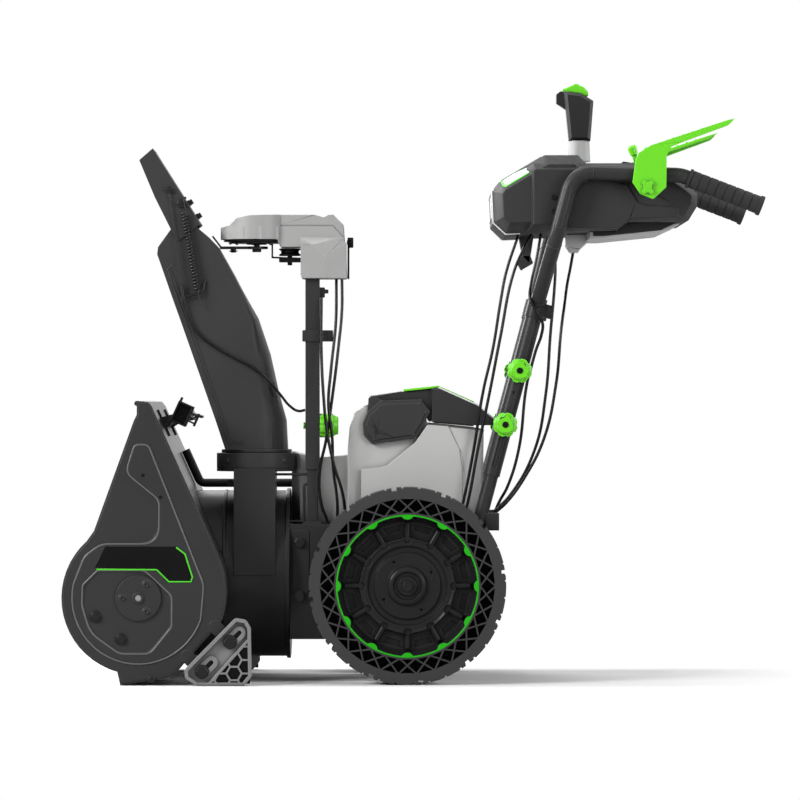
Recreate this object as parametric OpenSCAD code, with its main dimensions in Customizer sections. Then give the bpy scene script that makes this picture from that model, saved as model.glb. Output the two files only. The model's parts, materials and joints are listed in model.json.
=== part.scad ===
// Two-stage battery snow blower. Millimetres, +Z up, front at -X, origin on the
// ground under the middle of the machine. "Left" is the operator's left, at -Y.

/* [Stance] */
// Outside diameter of the wheels
wheel_d = 381; // [370:1:392]
// Width of each tyre
tyre_w = 106; // [96:1:112]
// Inner face of each tyre, from the middle
tyre_in = 181; // [180:1:190]
// Axle, along the machine
axle_x = -11; // [-16:1:-6]

/* [Auger housing] */
// Clearing width over the side plates
clear_w = 610; // [580:2:640]
// Height of the housing at its top lip
housing_h = 548; // [540:1:556]
// Sheet of the housing back
sheet_t = 2.5; // [2:0.1:3]
// Sheet of the side plates
plate_t = 3; // [2.5:0.1:3.5]
// Height of the embossed fields on the side plates
emboss_t = 1.6; // [1:0.1:2]
// Auger axis, along the machine
auger_x = -529; // [-532:1:-526]
// Height of the auger axis
auger_z = 168.5; // [166:0.5:171]
// Radius of the round nose of the side plates
nose_r = 148; // [146:1:150]
// Depth of the housing behind the auger axis
back_r = 170; // [168:1:173]
// Depth of the scraper bar
scraper_w = 96; // [80:1:98]
// Thickness of the scraper bar
scraper_t = 4; // [3:0.5:5]

/* [Auger] */
// Diameter over the serrated flights
auger_d = 286; // [270:1:288]
// Width of the ribbon of each flight
ribbon_w = 36; // [30:1:44]
// Thickness of the ribbon
ribbon_t = 4; // [3:0.5:5]
// Depth of the teeth along each flight
tooth_h = 7; // [5:0.5:9]
// Diameter of the auger shaft
auger_shaft_d = 19; // [17:0.5:22]
// Outside diameter of the auger tubes
auger_tube_d = 38; // [34:1:42]
// Diameter of the bearing flange on each side plate
bearing_d = 88; // [80:1:96]

/* [Impeller] */
// Outside diameter of the impeller drum
drum_d = 328; // [320:1:334]
// Height of the impeller axis
drum_z = 206.8; // [204:0.2:209]
// Back face of the impeller drum
drum_back_x = -241; // [-244:1:-239]
// Wall of the drum and of its neck
drum_t = 3; // [2.5:0.5:4]
// Gap from the impeller to the drum
impeller_gap = 5; // [3:0.5:8]
// Diameter of the impeller shaft
impeller_shaft_d = 22; // [19:0.5:25]

/* [Chute] */
// Chute axis, along the machine
chute_x = -306.8; // [-309:0.1:-304]
// Chute axis, across the machine
chute_y = -85; // [-88:1:-83]
// Width of the chute
chute_w = 128; // [120:1:132]
// Wall of the chute and the deflector
chute_t = 3; // [2.5:0.1:3.5]
// Top of the ring that carries the chute
ring_z = 446; // [443:1:449]
// Outside diameter of the ring
ring_d = 157; // [152:1:162]
// Height of the ring
ring_h = 30; // [24:1:34]
// Height of the deflector pivot
pivot_z = 932.9; // [930:0.1:936]
// Deflector pivot, along the machine
pivot_x = -453.7; // [-456:0.1:-452]

/* [Turret] */
// Side of the square post
post_w = 28; // [26:0.5:30]
// Top of the post, under the turret cover
post_top = 786; // [780:1:792]
// Post, along the machine
post_x = -196.5; // [-198:0.5:-195]
// Post, across the machine
post_y = -120; // [-122:1:-117]
// Radius of the round nose of the turret
turret_r = 70; // [66:1:72]
// Width of the turret behind its nose
turret_w = 100; // [94:1:104]

/* [Chassis] */
// Width over the chassis side plates
chassis_w = 280; // [272:1:284]
// Sheet of the chassis
chassis_t = 3; // [2.5:0.1:4]
// Top of the chassis
chassis_top = 307; // [303:1:310]
// Underside of the chassis
chassis_low = 82; // [76:1:90]
// Back of the chassis
chassis_back = 150; // [146:1:156]
// Width of the battery hood
hood_w = 266; // [258:1:268]

/* [Handle] */
// Lean of the handle from upright
handle_tilt = 14.9; // [14.5:0.1:15.3]
// Middle of each handle tube, from the middle of the machine
handle_y = 158; // [156:0.5:160]
// Diameter of the lower handle tubes
inner_d = 27; // [25:0.5:28]
// Diameter of the sleeve of the upper handle
sleeve_d = 32; // [31:0.5:33]
// Diameter of the upper handle tubes
bar_d = 29; // [27:0.5:30]
// Travel of the handle height setting
handle_travel = 80; // [60:1:84]
// Diameter of the green clamp knobs
knob_d = 48; // [42:1:52]
// Width of the control console
console_w = 500; // [470:2:510]
// Height of the straight handle run beside the console
bar_z = 990; // [986:1:994]
// Diameter of the grips
grip_d = 35; // [33:0.5:37]

/* [Fits] */
// Radial clearance of running fits
fit = 0.08; // [0.04:0.01:0.1]
// Radial clearance of pieces pressed together
seat = 0.05; // [0.02:0.01:0.08]
// Gap between pieces that move past each other
gap = 0.4; // [0.3:0.05:0.6]
// Diameter of the small bolts
bolt_d = 8; // [7:0.5:9]

/* [Hidden] */
$fn = 48;

// ---------------------------------------------------------------- helpers
function unit(v) = v / norm(v);
function left_of(v) = [-v[1], v[0]];
function xy(p) = [p[0], p[1]];
function arc(c, r, a0, a1, n = 8) =
    [for (i = [0:n]) let(a = a0 + (a1 - a0) * i / n) [c[0] + r * cos(a), c[1] + r * sin(a)]];

// The way out of a corner between two directions, long enough for an even wall
function corner(a, b) = let(n = unit(left_of(a) + left_of(b))) n / (n * left_of(a));

// An open line moved sideways by t, and a strip of that width along it
function moved(p, t) = let(e = len(p) - 1)
    [for (i = [0:e]) let(j = max(i, 1), k = min(i + 1, e))
        p[i] + t * corner(unit(p[j] - p[j - 1]), unit(p[k] - p[k - 1]))];
function strip(p, t) = let(q = moved(p, t), e = len(p) - 1)
    concat(p, [for (i = [e:-1:0]) q[i]]);

// A closed outline moved inwards by t (for outlines drawn clockwise)
function inset(p, t) = let(n = len(p))
    [for (i = [0:n - 1]) let(a = p[i] - p[(i + n - 1) % n], b = p[(i + 1) % n] - p[i])
        p[i] - t * corner(unit(a), unit(b))];

// One corner b between a and c, rounded to radius r
function fillet(a, b, c, r, n) = let(
    u = unit(a - b), v = unit(c - b), half = acos(u * v) / 2,
    reach = min(r / tan(half), 0.46 * norm(a - b), 0.46 * norm(c - b)), rr = reach * tan(half),
    m = b + unit(u + v) * rr / sin(half), s = b + u * reach - m, e = b + v * reach - m,
    a0 = atan2(s[1], s[0]), turn = atan2(s[0] * e[1] - s[1] * e[0], s * e))
    [for (i = [0:n]) m + rr * [cos(a0 + turn * i / n), sin(a0 + turn * i / n)]];
function rounded(p, r, n = 4) = let(k = len(p))
    [for (i = [0:k - 1]) each fillet(xy(p[(i + k - 1) % k]), xy(p[i]), xy(p[(i + 1) % k]),
        len(p[i]) > 2 ? p[i][2] : r, n)];

// A smooth curve through a few points, with n steps between each pair
function curve(p, n = 3) = let(e = len(p) - 1) concat([for (i = [0:e - 1], j = [0:n - 1])
    let(t = j / n, a = p[max(i - 1, 0)], b = p[i], c = p[i + 1], d = p[min(i + 2, e)])
    0.5 * (2 * b + (c - a) * t + (2 * a - 5 * b + 4 * c - d) * t * t
        + (3 * b - 3 * c + d - a) * t * t * t)], [p[e]]);

// Flat shapes drawn as (x, z) and given their depth along Y
module slab(y0, y1) translate([0, max(y0, y1), 0]) rotate([90, 0, 0])
    linear_extrude(abs(y1 - y0)) children();
module plate(points, y0, y1) slab(y0, y1) polygon(points);
module both_sides() { children(); mirror([0, 1, 0]) children(); }

// A round bar between two points, and bars along x and y
module rod(a, b, d, d2 = 0) {
    v = b - a;
    h = norm(v);
    translate(a) rotate([0, acos(v[2] / h), atan2(v[1], v[0])])
        cylinder(d1 = d, d2 = d2 > 0 ? d2 : d, h = h);
}
module bar_x(x0, x1, y, z, d) rod([min(x0, x1), y, z], [max(x0, x1), y, z], d);
module bar_y(x, y0, y1, z, d) rod([x, min(y0, y1), z], [x, max(y0, y1), z], d);

// A bar through points with rounded bends
bend_step = 0.3;
module bent_bar(p, bend, d) {
    e = len(p) - 1;
    reach = [for (i = [0:e]) i == 0 || i == e ? 0 :
        bend / tan(acos(unit(p[i - 1] - p[i]) * unit(p[i + 1] - p[i])) / 2)];
    for (i = [0:e - 1]) let(w = unit(p[i + 1] - p[i]))
        rod(p[i] + w * reach[i], p[i + 1] - w * reach[i + 1], d);
    for (i = [1:1:e - 1]) {
        u = unit(p[i - 1] - p[i]);
        v = unit(p[i + 1] - p[i]);
        half = acos(u * v) / 2;
        m = p[i] + unit(u + v) * bend / sin(half);
        s = unit(p[i] + u * reach[i] - m);
        z = unit(cross(s, unit(p[i] + v * reach[i] - m)));
        y = cross(z, s);
        multmatrix([[s[0], y[0], z[0], m[0]], [s[1], y[1], z[1], m[1]],
                [s[2], y[2], z[2], m[2]], [0, 0, 0, 1]])
            // each bend runs a little into the straights, a hair thinner than they are
            rotate(-1) rotate_extrude(angle = 182 - 2 * half) translate([bend, 0]) circle(d = d - bend_step);
    }
}

// A closed skin over rings of points, all with the same number of points. The
// faces are turned to point outwards by the sign of the volume that they close.
function face_sum(p, f, i = 0) = i == len(f) ? 0 :
    cross(p[f[i][0]], p[f[i][1]]) * p[f[i][2]] + face_sum(p, f, i + 1);
function backwards(f) = [for (i = [len(f) - 1:-1:0]) f[i]];
// With walled = true each ring runs out along a wall and back along its other face.
module skin(rings, walled = false) {
    n = len(rings[0]);
    k = len(rings);
    points = [for (r = rings) each r];
    sides = [for (j = [0:k - 2], i = [0:n - 1]) let(a = j * n + i, b = j * n + (i + 1) % n)
        each [[a, b, b + n], [a, b + n, a + n]]];
    last = (k - 1) * n;
    ends = !walled ? [[for (i = [n - 1:-1:0]) i], [for (i = [0:n - 1]) last + i]] :
        [for (i = [0:n / 2 - 2]) let(j = n - 1 - i) each [[i + 1, i, j], [i + 1, j, j - 1],
            [last + i, last + i + 1, last + j], [last + i + 1, last + j - 1, last + j]]];
    inwards = face_sum(points, sides) < 0;
    faces = concat(sides, ends);
    polyhedron(points, inwards ? faces : [for (f = faces) backwards(f)]);
}

// A cable of diameter d along a route that runs mainly in x and z
module cable(route, d, sides = 8) {
    e = len(route) - 1;
    skin([for (i = [0:e]) let(
        t = unit(route[min(i + 1, e)] - route[max(i - 1, 0)]),
        u = unit(cross(t, [0, 1, 0])), v = cross(t, u))
        [for (k = [0:sides - 1]) route[i] + d / 2 * (cos(360 * k / sides) * u
            + sin(360 * k / sides) * v)]]);
}

// A hexagon bolt with a washer along -Y, its seat at y
module bolt_y(x, y, z, d, head = 5, side = -1) {
    washer = 1.6;
    bar_y(x, y, y + side * washer, z, 2.1 * d);
    slab(y + side * washer, y + side * (washer + head)) translate([x, z]) circle(d = 1.8 * d, $fn = 6);
}

// ---------------------------------------------------------------- auger housing
auger = [auger_x, auger_z];
plate_y = clear_w / 2;
inside_y = plate_y - plate_t;
back_arc = [auger_x, auger_z + 11.5];
lip_back = [auger_x + 26, housing_h - 11];
sole_back = [auger_x + 65.7, 16.5];
sole_front = [auger_x - 34.4, 0];
heel = [auger_x + 81.4, 34.2];
housing_back = concat([[auger_x + 19, housing_h - 2], lip_back],
    arc(back_arc, back_r, 21.5, -19, 8), [heel, sole_back]);
front_edge = [[auger_x - 85.4, auger_z + 129], [auger_x - 8.8, housing_h - 38.5],
    [auger_x - 3, housing_h - 27]];
housing_outline = concat([[auger_x - 3, housing_h]], housing_back, [sole_front],
    arc(auger, nose_r, 254.2, 132.1, 18), front_edge);
drum_r = drum_d / 2;

module drum_bore(d) translate([auger_x, 0, drum_z]) rotate([0, 90, 0])
    cylinder(d = d, h = drum_back_x - drum_t - auger_x);

module auger_housing() color([0.13, 0.13, 0.14]) difference() {
    union() {
        plate(strip(concat([[auger_x - 3, housing_h]], housing_back), -sheet_t), -inside_y, inside_y);
        // rolled lip along the top front edge
        bar_y(auger_x - 3, -inside_y, inside_y, housing_h - 5, 10);
    }
    drum_bore(drum_d - 2 * drum_t);
}

// A stamped field line: a narrow groove along a path
groove_w = 3.2;
module groove(path) polygon(strip(path, groove_w));

// Raised field of each side plate and the flat pocket in it, drawn from the auger axis
function from_auger(p) = [for (q = p) [auger_x + q[0], auger_z + q[1], q[2]]];
field_r = 128.5;
field_line = rounded(from_auger(concat([[-25, 243, 22], [-7, 297, 12], [20, 297, 14], [127, 26, 50]],
    [for (p = arc([0, 0], field_r, -12, -200, 9)) [p[0], p[1], 60]],
    [[-105, 81, 40], [-71, 105.5, 40], [38.6, 105.5, 34], [38.6, 190, 26]])), 10);
hub_line = rounded(from_auger([[-106, 24, 12], [-78, 52, 12], [12, 52, 20], [63, 4, 20], [63, -56, 16],
    [22, -106, 24], [-36, -106, 30], [-92, -66, 60], [-107, -14, 40]]), 10);
edge_w = 2;

// Reach of the ears from the skid bolts into the side plate
ear_reach = 40;
module side_plate() {
    plate(housing_outline, -plate_y, -inside_y);
    // ears behind the skid shoe that carry its bolts
    slab(-plate_y - emboss_t, -inside_y) for (s = skid_studs) {
        slot(s, s + ear_reach * [-0.7071, 0.7071], 26);
        slot(s, s + skid_travel * [0.7071, 0.7071], 24);
    }
    // pressed border, and the raised field with the pocket round the bearing
    field_t = emboss_t + 1;
    difference() {
        union() {
            plate(inset(housing_outline, 3.5), -plate_y - emboss_t / 2, -plate_y);
            plate(field_line, -plate_y - emboss_t, -plate_y);
            plate(inset(field_line, edge_w), -plate_y - field_t, -plate_y);
        }
        plate(hub_line, -plate_y - field_t - 1, -plate_y - emboss_t);
        plate(inset(hub_line, edge_w), -plate_y - field_t, -plate_y);
    }
}

// Holes shared by the side plates and their bolts
skid_studs = [[auger_x + 177, 84.3], [auger_x + 123, 27.2]];
small_bolts = [[auger_x - 82, auger_z - 36], [auger_x - 33, auger_z - 79]];
module side_plates() color([0.15, 0.15, 0.16]) both_sides() difference() {
    side_plate();
    bar_y(auger_x, -plate_y - 9, -inside_y + 1, auger_z, auger_shaft_d + 2 * fit + 8);
}

module scraper_bar() color([0.25, 0.25, 0.27]) {
    along = unit(sole_front - sole_back);
    up = [-along[1], along[0]] * -scraper_t;
    a = sole_back + along * 3 + up * 0.15;
    plate([a, a + along * scraper_w, a + along * (scraper_w - 3) + up, a + up], -inside_y, inside_y);
}

module on_flange() for (a = [60, 180, 300])
    translate([bearing_d * 0.347 * cos(a), 0, bearing_d * 0.347 * sin(a)]) children();
module bearing_flanges() color([0.12, 0.12, 0.13]) both_sides() difference() {
    union() {
        bar_y(auger_x, -plate_y - 5, -plate_y, auger_z, bearing_d);
        bar_y(auger_x, -plate_y - 8, -plate_y, auger_z, 22);
        on_flange() {
            bar_y(auger_x, -plate_y - 6.2, -plate_y - 4, auger_z, 16);
            bar_y(auger_x, -plate_y - 8.5, -plate_y - 4, auger_z, 11);
        }
    }
    bar_y(auger_x, -plate_y - 6, -plate_y + 1, auger_z, auger_shaft_d + 2 * fit);
    bar_y(auger_x, -plate_y - 9, -plate_y - 5, auger_z, 12);
    on_flange() slab(-plate_y - 9, -plate_y - 6) translate([auger_x, auger_z]) circle(d = 5.6, $fn = 6);
}

// ---------------------------------------------------------------- impeller drum and neck
neck_front = chute_x - 43;
neck_back = chute_x + 38;
neck_half = 80.5;
neck_top = ring_z - ring_h;
spigot_d = chute_w - 8;
function at_z(z) = [0, 0, z];

module neck_hollow(t) translate([neck_front + t, chute_y - neck_half + t, drum_z])
    cube([neck_back - neck_front - 2 * t, 2 * (neck_half - t), neck_top + 1 - drum_z]);

module impeller_drum() color([0.12, 0.12, 0.13]) difference() {
    union() {
        translate([auger_x + 60, 0, drum_z]) rotate([0, 90, 0])
            cylinder(d = drum_d, h = drum_back_x - auger_x - 60, $fn = 96);
        // back flange and the seams rolled round the drum
        translate([drum_back_x - 8, 0, drum_z]) rotate([0, 90, 0]) cylinder(d = drum_d + 8, h = 8);
        translate([neck_front - 22, 0, drum_z]) rotate([0, 90, 0]) cylinder(d = drum_d + 3, h = 6);
        translate([neck_front, chute_y - neck_half, drum_z])
            cube([neck_back - neck_front, 2 * neck_half, neck_top - drum_z]);
        translate([chute_x, chute_y, neck_top - 6]) cylinder(d = ring_d, h = 6);
    }
    drum_bore(drum_d - 2 * drum_t);
    neck_hollow(drum_t);
    translate([drum_back_x - drum_t - 1, 0, drum_z]) rotate([0, 90, 0])
        cylinder(d = impeller_shaft_d + 2, h = drum_t + 2);
    plate(housing_outline, -plate_y, plate_y);
}

module chute_ring() color([0.11, 0.11, 0.12]) translate([chute_x, chute_y, neck_top]) difference() {
    union() {
        cylinder(d = ring_d, h = ring_h, $fn = 96);
        for (a = [45:90:315]) rotate(a) translate([ring_d / 2 - 2, 0, ring_h / 2])
            rotate([0, 90, 0]) cylinder(d = 9, h = 5, $fn = 6);
    }
    translate(at_z(-1)) cylinder(d = spigot_d + 2 * fit, h = ring_h + 2, $fn = 96);
}

// ---------------------------------------------------------------- auger and gearbox
gearbox_half = 34;
auger_in = gearbox_half + gap;
module ribbon(start, turns, y0, y1) {
    steps = 30;
    r0 = auger_d / 2;
    skin([for (i = [0:steps]) let(a = start + 360 * turns * i / steps,
        y = y0 + (y1 - y0) * i / steps, r = i % 2 == 0 ? r0 : r0 - tooth_h,
        c = cos(a), s = sin(a), q = r0 - ribbon_w)
        [[r * c, y - ribbon_t / 2, r * s], [r * c, y + ribbon_t / 2, r * s],
            [q * c, y + ribbon_t / 2, q * s], [q * c, y - ribbon_t / 2, q * s]]]);
}

module flight_arm(a, y) rotate([0, -a, 0]) translate([auger_tube_d / 2 - 2, y - 3, -11])
    cube([auger_d / 2 - ribbon_w + 6 - auger_tube_d / 2, 6, 22]);

module auger_half() {
    tube_end = inside_y - gap;
    first = auger_in + 16;
    last = inside_y - 9;
    turns = 0.6;
    for (k = [0, 180]) {
        ribbon(k, turns, first, last);
        for (f = [0.03, 0.5, 0.97]) flight_arm(k + 360 * turns * f, first + (last - first) * f);
    }
    difference() {
        bar_y(0, auger_in, tube_end, 0, auger_tube_d);
        bar_y(0, auger_in - 1, tube_end + 1, 0, auger_shaft_d + 2 * fit);
    }
}

module auger_flights() color([0.16, 0.16, 0.17]) translate([auger_x, 0, auger_z]) both_sides() auger_half();

module auger_shaft() color([0.6, 0.6, 0.62]) translate([auger_x, 0, auger_z]) {
    bar_y(0, -plate_y - 5.5, plate_y + 5.5, 0, auger_shaft_d);
    both_sides() bar_y(0, -plate_y - 5.5, -plate_y - 3, 0, auger_shaft_d - 1);
}

gear_x = auger_x - 38;
gear_r = 40;
module auger_gearbox() color([0.45, 0.46, 0.48]) difference() {
    union() {
        bar_y(auger_x, -gearbox_half, gearbox_half, auger_z, 2 * gear_r);
        bar_y(auger_x, -gearbox_half + 8, gearbox_half - 8, auger_z, 2 * gear_r + 12);
        bar_x(gear_x, auger_x + 48, 0, drum_z, impeller_shaft_d + 22);
        bar_x(auger_x + 44, auger_x + 52, 0, drum_z, impeller_shaft_d + 32);
        for (a = [30:60:330]) translate([(gear_r + 2) * cos(a), 0, (gear_r + 2) * sin(a)])
            bar_y(auger_x, -gearbox_half, gearbox_half, auger_z, 9);
    }
    bar_y(auger_x, -gearbox_half - 1, gearbox_half + 1, auger_z, auger_shaft_d + 2 * fit);
    bar_x(gear_x + 8, auger_x + 60, 0, drum_z, impeller_shaft_d + 2 * fit);
}

// ---------------------------------------------------------------- impeller
impeller_r = drum_r - drum_t - impeller_gap;
impeller_x0 = auger_x + 153;
impeller_x1 = drum_back_x - drum_t - 10;
shaft_end = drum_back_x + 42;
module along_x(x0, x1) translate([x0, 0, 0]) rotate([90, 0, 90]) linear_extrude(x1 - x0) children();

module impeller() color([0.2, 0.2, 0.21]) translate([0, 0, drum_z]) {
    difference() {
        union() {
            bar_x(gear_x + 10, shaft_end, 0, 0, impeller_shaft_d);
            bar_x(impeller_x0 - 4, impeller_x1, 0, 0, impeller_shaft_d + 22);
            along_x(impeller_x0, impeller_x1) for (a = [0:90:270]) rotate(a)
                polygon(strip(concat([[impeller_shaft_d / 2 + 6, 0]],
                    arc([impeller_r - 46, 40], 36, -90, -12, 6)), 5));
            // rim plate that ties the blades together at the back
            along_x(impeller_x1 - 4, impeller_x1) circle(r = impeller_r * 0.55);
        }
        // shear pin hole
        rod([impeller_x0 + 10, 0, -40], [impeller_x0 + 10, 0, 40], 7);
    }
}

// ---------------------------------------------------------------- chassis
half_chassis = chassis_w / 2;
shaft_d = 20;
axle_z = wheel_d / 2;
motor_d = 124;
module chassis_side() {
    outline = rounded([[drum_back_x, chassis_top], [chassis_back - 14, chassis_top],
        [chassis_back, chassis_top - 16], [chassis_back, axle_z - 20], [chassis_back - 60, chassis_low],
        [drum_back_x, chassis_low]], 5);
    difference() {
        union() {
            plate(outline, -half_chassis, -half_chassis + chassis_t);
            // pressed field that carries the two front bolts
            plate(rounded([[drum_back_x + 5, chassis_top - 12], [drum_back_x + 38, chassis_top - 12],
                [drum_back_x + 38, axle_z - 20], [drum_back_x + 5, axle_z - 20]], 6),
                -half_chassis - 2, -half_chassis);
            bar_y(axle_x, -half_chassis - 6, -half_chassis, axle_z, 54);
        }
        bar_y(axle_x, -half_chassis - 8, -half_chassis + chassis_t + 1, axle_z, shaft_d + 2 * fit);
    }
}

module chassis_frame() color([0.12, 0.12, 0.13]) {
    both_sides() chassis_side();
    w = half_chassis - chassis_t;
    difference() {
        plate([[drum_back_x, chassis_low], [drum_back_x, chassis_top], [drum_back_x + chassis_t, chassis_top],
            [drum_back_x + chassis_t, chassis_low]], -w, w);
        bar_x(drum_back_x - 1, drum_back_x + chassis_t + 1, 0, drum_z, impeller_shaft_d + 2);
    }
    plate([[drum_back_x + chassis_t, chassis_low], [drum_back_x + chassis_t, chassis_low + chassis_t],
        [chassis_back - 62, chassis_low + chassis_t], [chassis_back - 62, chassis_low]], -w, w);
    plate([[chassis_back - chassis_t, axle_z], [chassis_back - chassis_t, chassis_top - 20],
        [chassis_back, chassis_top - 20], [chassis_back, axle_z]], -w, w);
    difference() {
        plate([[drum_back_x + chassis_t, chassis_top - chassis_t], [drum_back_x + chassis_t, chassis_top],
            [chassis_back - 20, chassis_top], [chassis_back - 20, chassis_top - chassis_t]], -w, w);
        translate([axle_x - 60, -60, chassis_top - 10]) cube([120, 120, 20]);
    }
}

module transaxle() color([0.4, 0.41, 0.43]) difference() {
    union() {
        plate(rounded([[axle_x - 52, axle_z - 38], [axle_x - 52, axle_z + 38], [axle_x + 46, axle_z + 44],
            [axle_x + 60, axle_z], [axle_x + 40, axle_z - 44]], 12), -56, 56);
        bar_x(axle_x - 98, axle_x - 50, 0, axle_z - 30, 74);
        bar_y(axle_x, -74, 74, axle_z, 48);
        // feet on the chassis floor
        for (x = [axle_x - 40, axle_x + 20]) translate([x, -50, chassis_low + chassis_t])
            cube([18, 100, axle_z - 30 - chassis_low - chassis_t]);
    }
    bar_y(axle_x, -80, 80, axle_z, shaft_d + 2 * fit);
}

module auger_motor() color([0.3, 0.31, 0.33]) difference() {
    union() {
        bar_x(drum_back_x + chassis_t, drum_back_x + 128, 0, drum_z + 20, motor_d);
        for (a = [0:30:330]) translate([0, (motor_d / 2 - 1) * cos(a), 20 + (motor_d / 2 - 1) * sin(a)])
            bar_x(drum_back_x + 14, drum_back_x + 110, 0, drum_z, 7);
        bar_x(drum_back_x + chassis_t, drum_back_x + 60, 0, drum_z, 60);
    }
    bar_x(drum_back_x, shaft_end + 2, 0, drum_z, impeller_shaft_d + 2 * fit);
}

// ---------------------------------------------------------------- hood, batteries and lid
hood_half = hood_w / 2;
core_half = hood_half - 13;
bay_half = core_half - 8;
hood_back = 137;
hood_top = 539.6;
hood_core = rounded([[-128, chassis_top], [-128, 452], [-124, 497], [-113, 526], [-92, hood_top],
    [20, hood_top], [28, 505], [118, 496], [hood_back, 492], [hood_back - 2, chassis_top]], 3);
side_swell = [[-101, chassis_top], [-101, 414], [-64, 417], [-50, 421], [4, 466], [28, 501], [70, 498],
    [92, 452], [98, 404], [98, chassis_top]];

module battery_hood() color([0.72, 0.73, 0.74]) difference() {
    union() {
        plate(hood_core, -core_half, core_half);
        both_sides() {
            plate(side_swell, -hood_half, -core_half);
            // rear corner that falls back towards the handle
            hull() {
                plate([[69, 497], [91, 452], [97, 404], [97, chassis_top + 1]], -hood_half, -core_half);
                plate([[hood_back, 491], [hood_back - 1, chassis_top + 1], [hood_back - 8, chassis_top + 1]],
                    -core_half - 1, -core_half);
            }
        }
        // motor cowl in front
        plate(rounded([[drum_back_x + 2, chassis_top], [drum_back_x + 2, 449], [-190, 436], [-127, 441],
            [-127, chassis_top]], 3), -95, 95);
    }
    translate([chute_x, chute_y, chassis_top]) cylinder(d = ring_d + 14, h = 200);
    // battery bay, open under the lid
    translate([-74, -bay_half, chassis_top + 22]) cube([188, 2 * bay_half, 300]);
    both_sides() translate([-150, -200, chassis_top - 1]) cube([24, 200 - core_half + 9, 200]);
    translate([-141, -20, 430]) cylinder(d = 9, h = 20);
    // relief round the turret post
    translate([post_x - post_w, post_y - post_w, chassis_top - 1]) cube([2 * post_w, 1.62 * post_w, 200]);
}

hinge = [-79, 549];
// Ear of the side panel that carries the lid's hinge pin
hinge_ear = [[-90, 524], [-88, 541], [-87, 553], [-80, 558], [-70, 556], [-58, 547], [-60, 524]];
ear_t = 6;
hex_panel = rounded([[-98, 504], [-96, 480], [-80, 463], [-38, 469], [6, 475], [22, 501], [33, 527],
    [15, 551], [-64, 548], [-90, 524]], 3);
pin_d = 8;
module hood_panels() color([0.1, 0.1, 0.11]) both_sides() {
    plate(hex_panel, -hood_half, -core_half);
    plate(rounded(inset([[-98, 504], [-90, 524], [-64, 548], [15, 551], [33, 527], [22, 501], [6, 475],
        [-38, 469], [-80, 463], [-96, 480]], 7), 3), -hood_half - 2.5, -hood_half);
    bar_y(-73, -hood_half - 3.6, -hood_half - 1, 488, 9);
    plate(rounded(hinge_ear, 3), -core_half - ear_t, -core_half);
    bar_y(hinge[0], -core_half - 1, -core_half + 12, hinge[1], pin_d);
}

lid_half = core_half - 1;
lid_low = hood_top + 2 * gap;
lid_line = [[-86, lid_low + 5], [-84, 556], [-22, 566], [49, 573], [128, 538], [162, 509], [156, 500],
    [119, 500], [30, 508], [22, lid_low], [-80, lid_low]];
module battery_lid() color([0.08, 0.08, 0.09]) difference() {
    union() {
        plate(rounded(lid_line, 2), -lid_half, lid_half);
        both_sides() plate(rounded([[38, 571], [49, 573], [128, 538], [162, 509], [156, 500], [119, 500],
            [36, 507]], 2), -hood_half + 2, -lid_half);
    }
    plate([[-70, 530], [-70, 550], [-20, 558], [46, 564], [118, 532], [140, 512], [140, 490], [20, 490]],
        -bay_half, bay_half);
    both_sides() bar_y(hinge[0], -lid_half - 1, -lid_half + 14, hinge[1], pin_d + 2 * fit);
}

module lid_trim() color([0.24, 0.82, 0.1]) both_sides()
    plate(strip([[-18, 566.6], [49, 573.6], [118, 543]], 4), -hood_half + 8, -hood_half + 26);

module battery_packs() color([0.14, 0.14, 0.15]) both_sides() {
    pack = bay_half - 6;
    difference() {
        union() {
            plate(rounded([[-70, chassis_top + 22], [-70, 470], [-60, 482], [98, 482], [110, 470],
                [110, chassis_top + 22]], 6), -pack, -4);
            plate(rounded([[-30, 480], [-26, 500], [60, 500], [64, 480]], 6), -pack / 2 - 18, -pack / 2 + 10);
        }
        plate(rounded([[-12, 484], [-12, 493], [46, 493], [46, 484]], 3), -pack, 0);
    }
}

// ---------------------------------------------------------------- turret and post
nose = [chute_x, chute_y];
turret_low = 787;
cover_line = [[-turret_r, 864], [-turret_r, 888], [-52, 891], [-38, 905], [-13, 910.5], [36, 912],
    [114, 912], [132, 907], [142, 912], [151, 912], [171, 892], [178, turret_low], [92, turret_low], [87, 794],
    [87, 849], [47, 849], [41, 864]];
module turret_cover() color([0.7, 0.71, 0.72]) difference() {
    intersection() {
        translate([chute_x, chute_y, 0]) plate(rounded(cover_line, 3, 3), -turret_r, turret_r);
        union() {
            translate([chute_x, chute_y, 700]) cylinder(r = turret_r, h = 300, $fn = 96);
            translate([chute_x, chute_y - turret_w / 2, 700]) cube([200, turret_w, 300]);
        }
    }
    // seat of the base plate, and the hollow that takes the post
    translate([chute_x, chute_y, base_z + 3]) cylinder(d = disc_d, h = 5, $fn = 96);
    translate([chute_x, chute_y, base_z - 3]) cylinder(d = disc_d - 18, h = 7, $fn = 96);
    translate([post_x - post_w / 2, post_y - post_w / 2, turret_low - 1]) cube([post_w, post_w, 21]);
    // parting groove along the side
    translate([chute_x, chute_y, 0]) both_sides()
        plate(strip([[36, 890], [150, 890], [170, 868]], 1.6), -turret_w / 2 - 1, -turret_w / 2 + 1);
}

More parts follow.
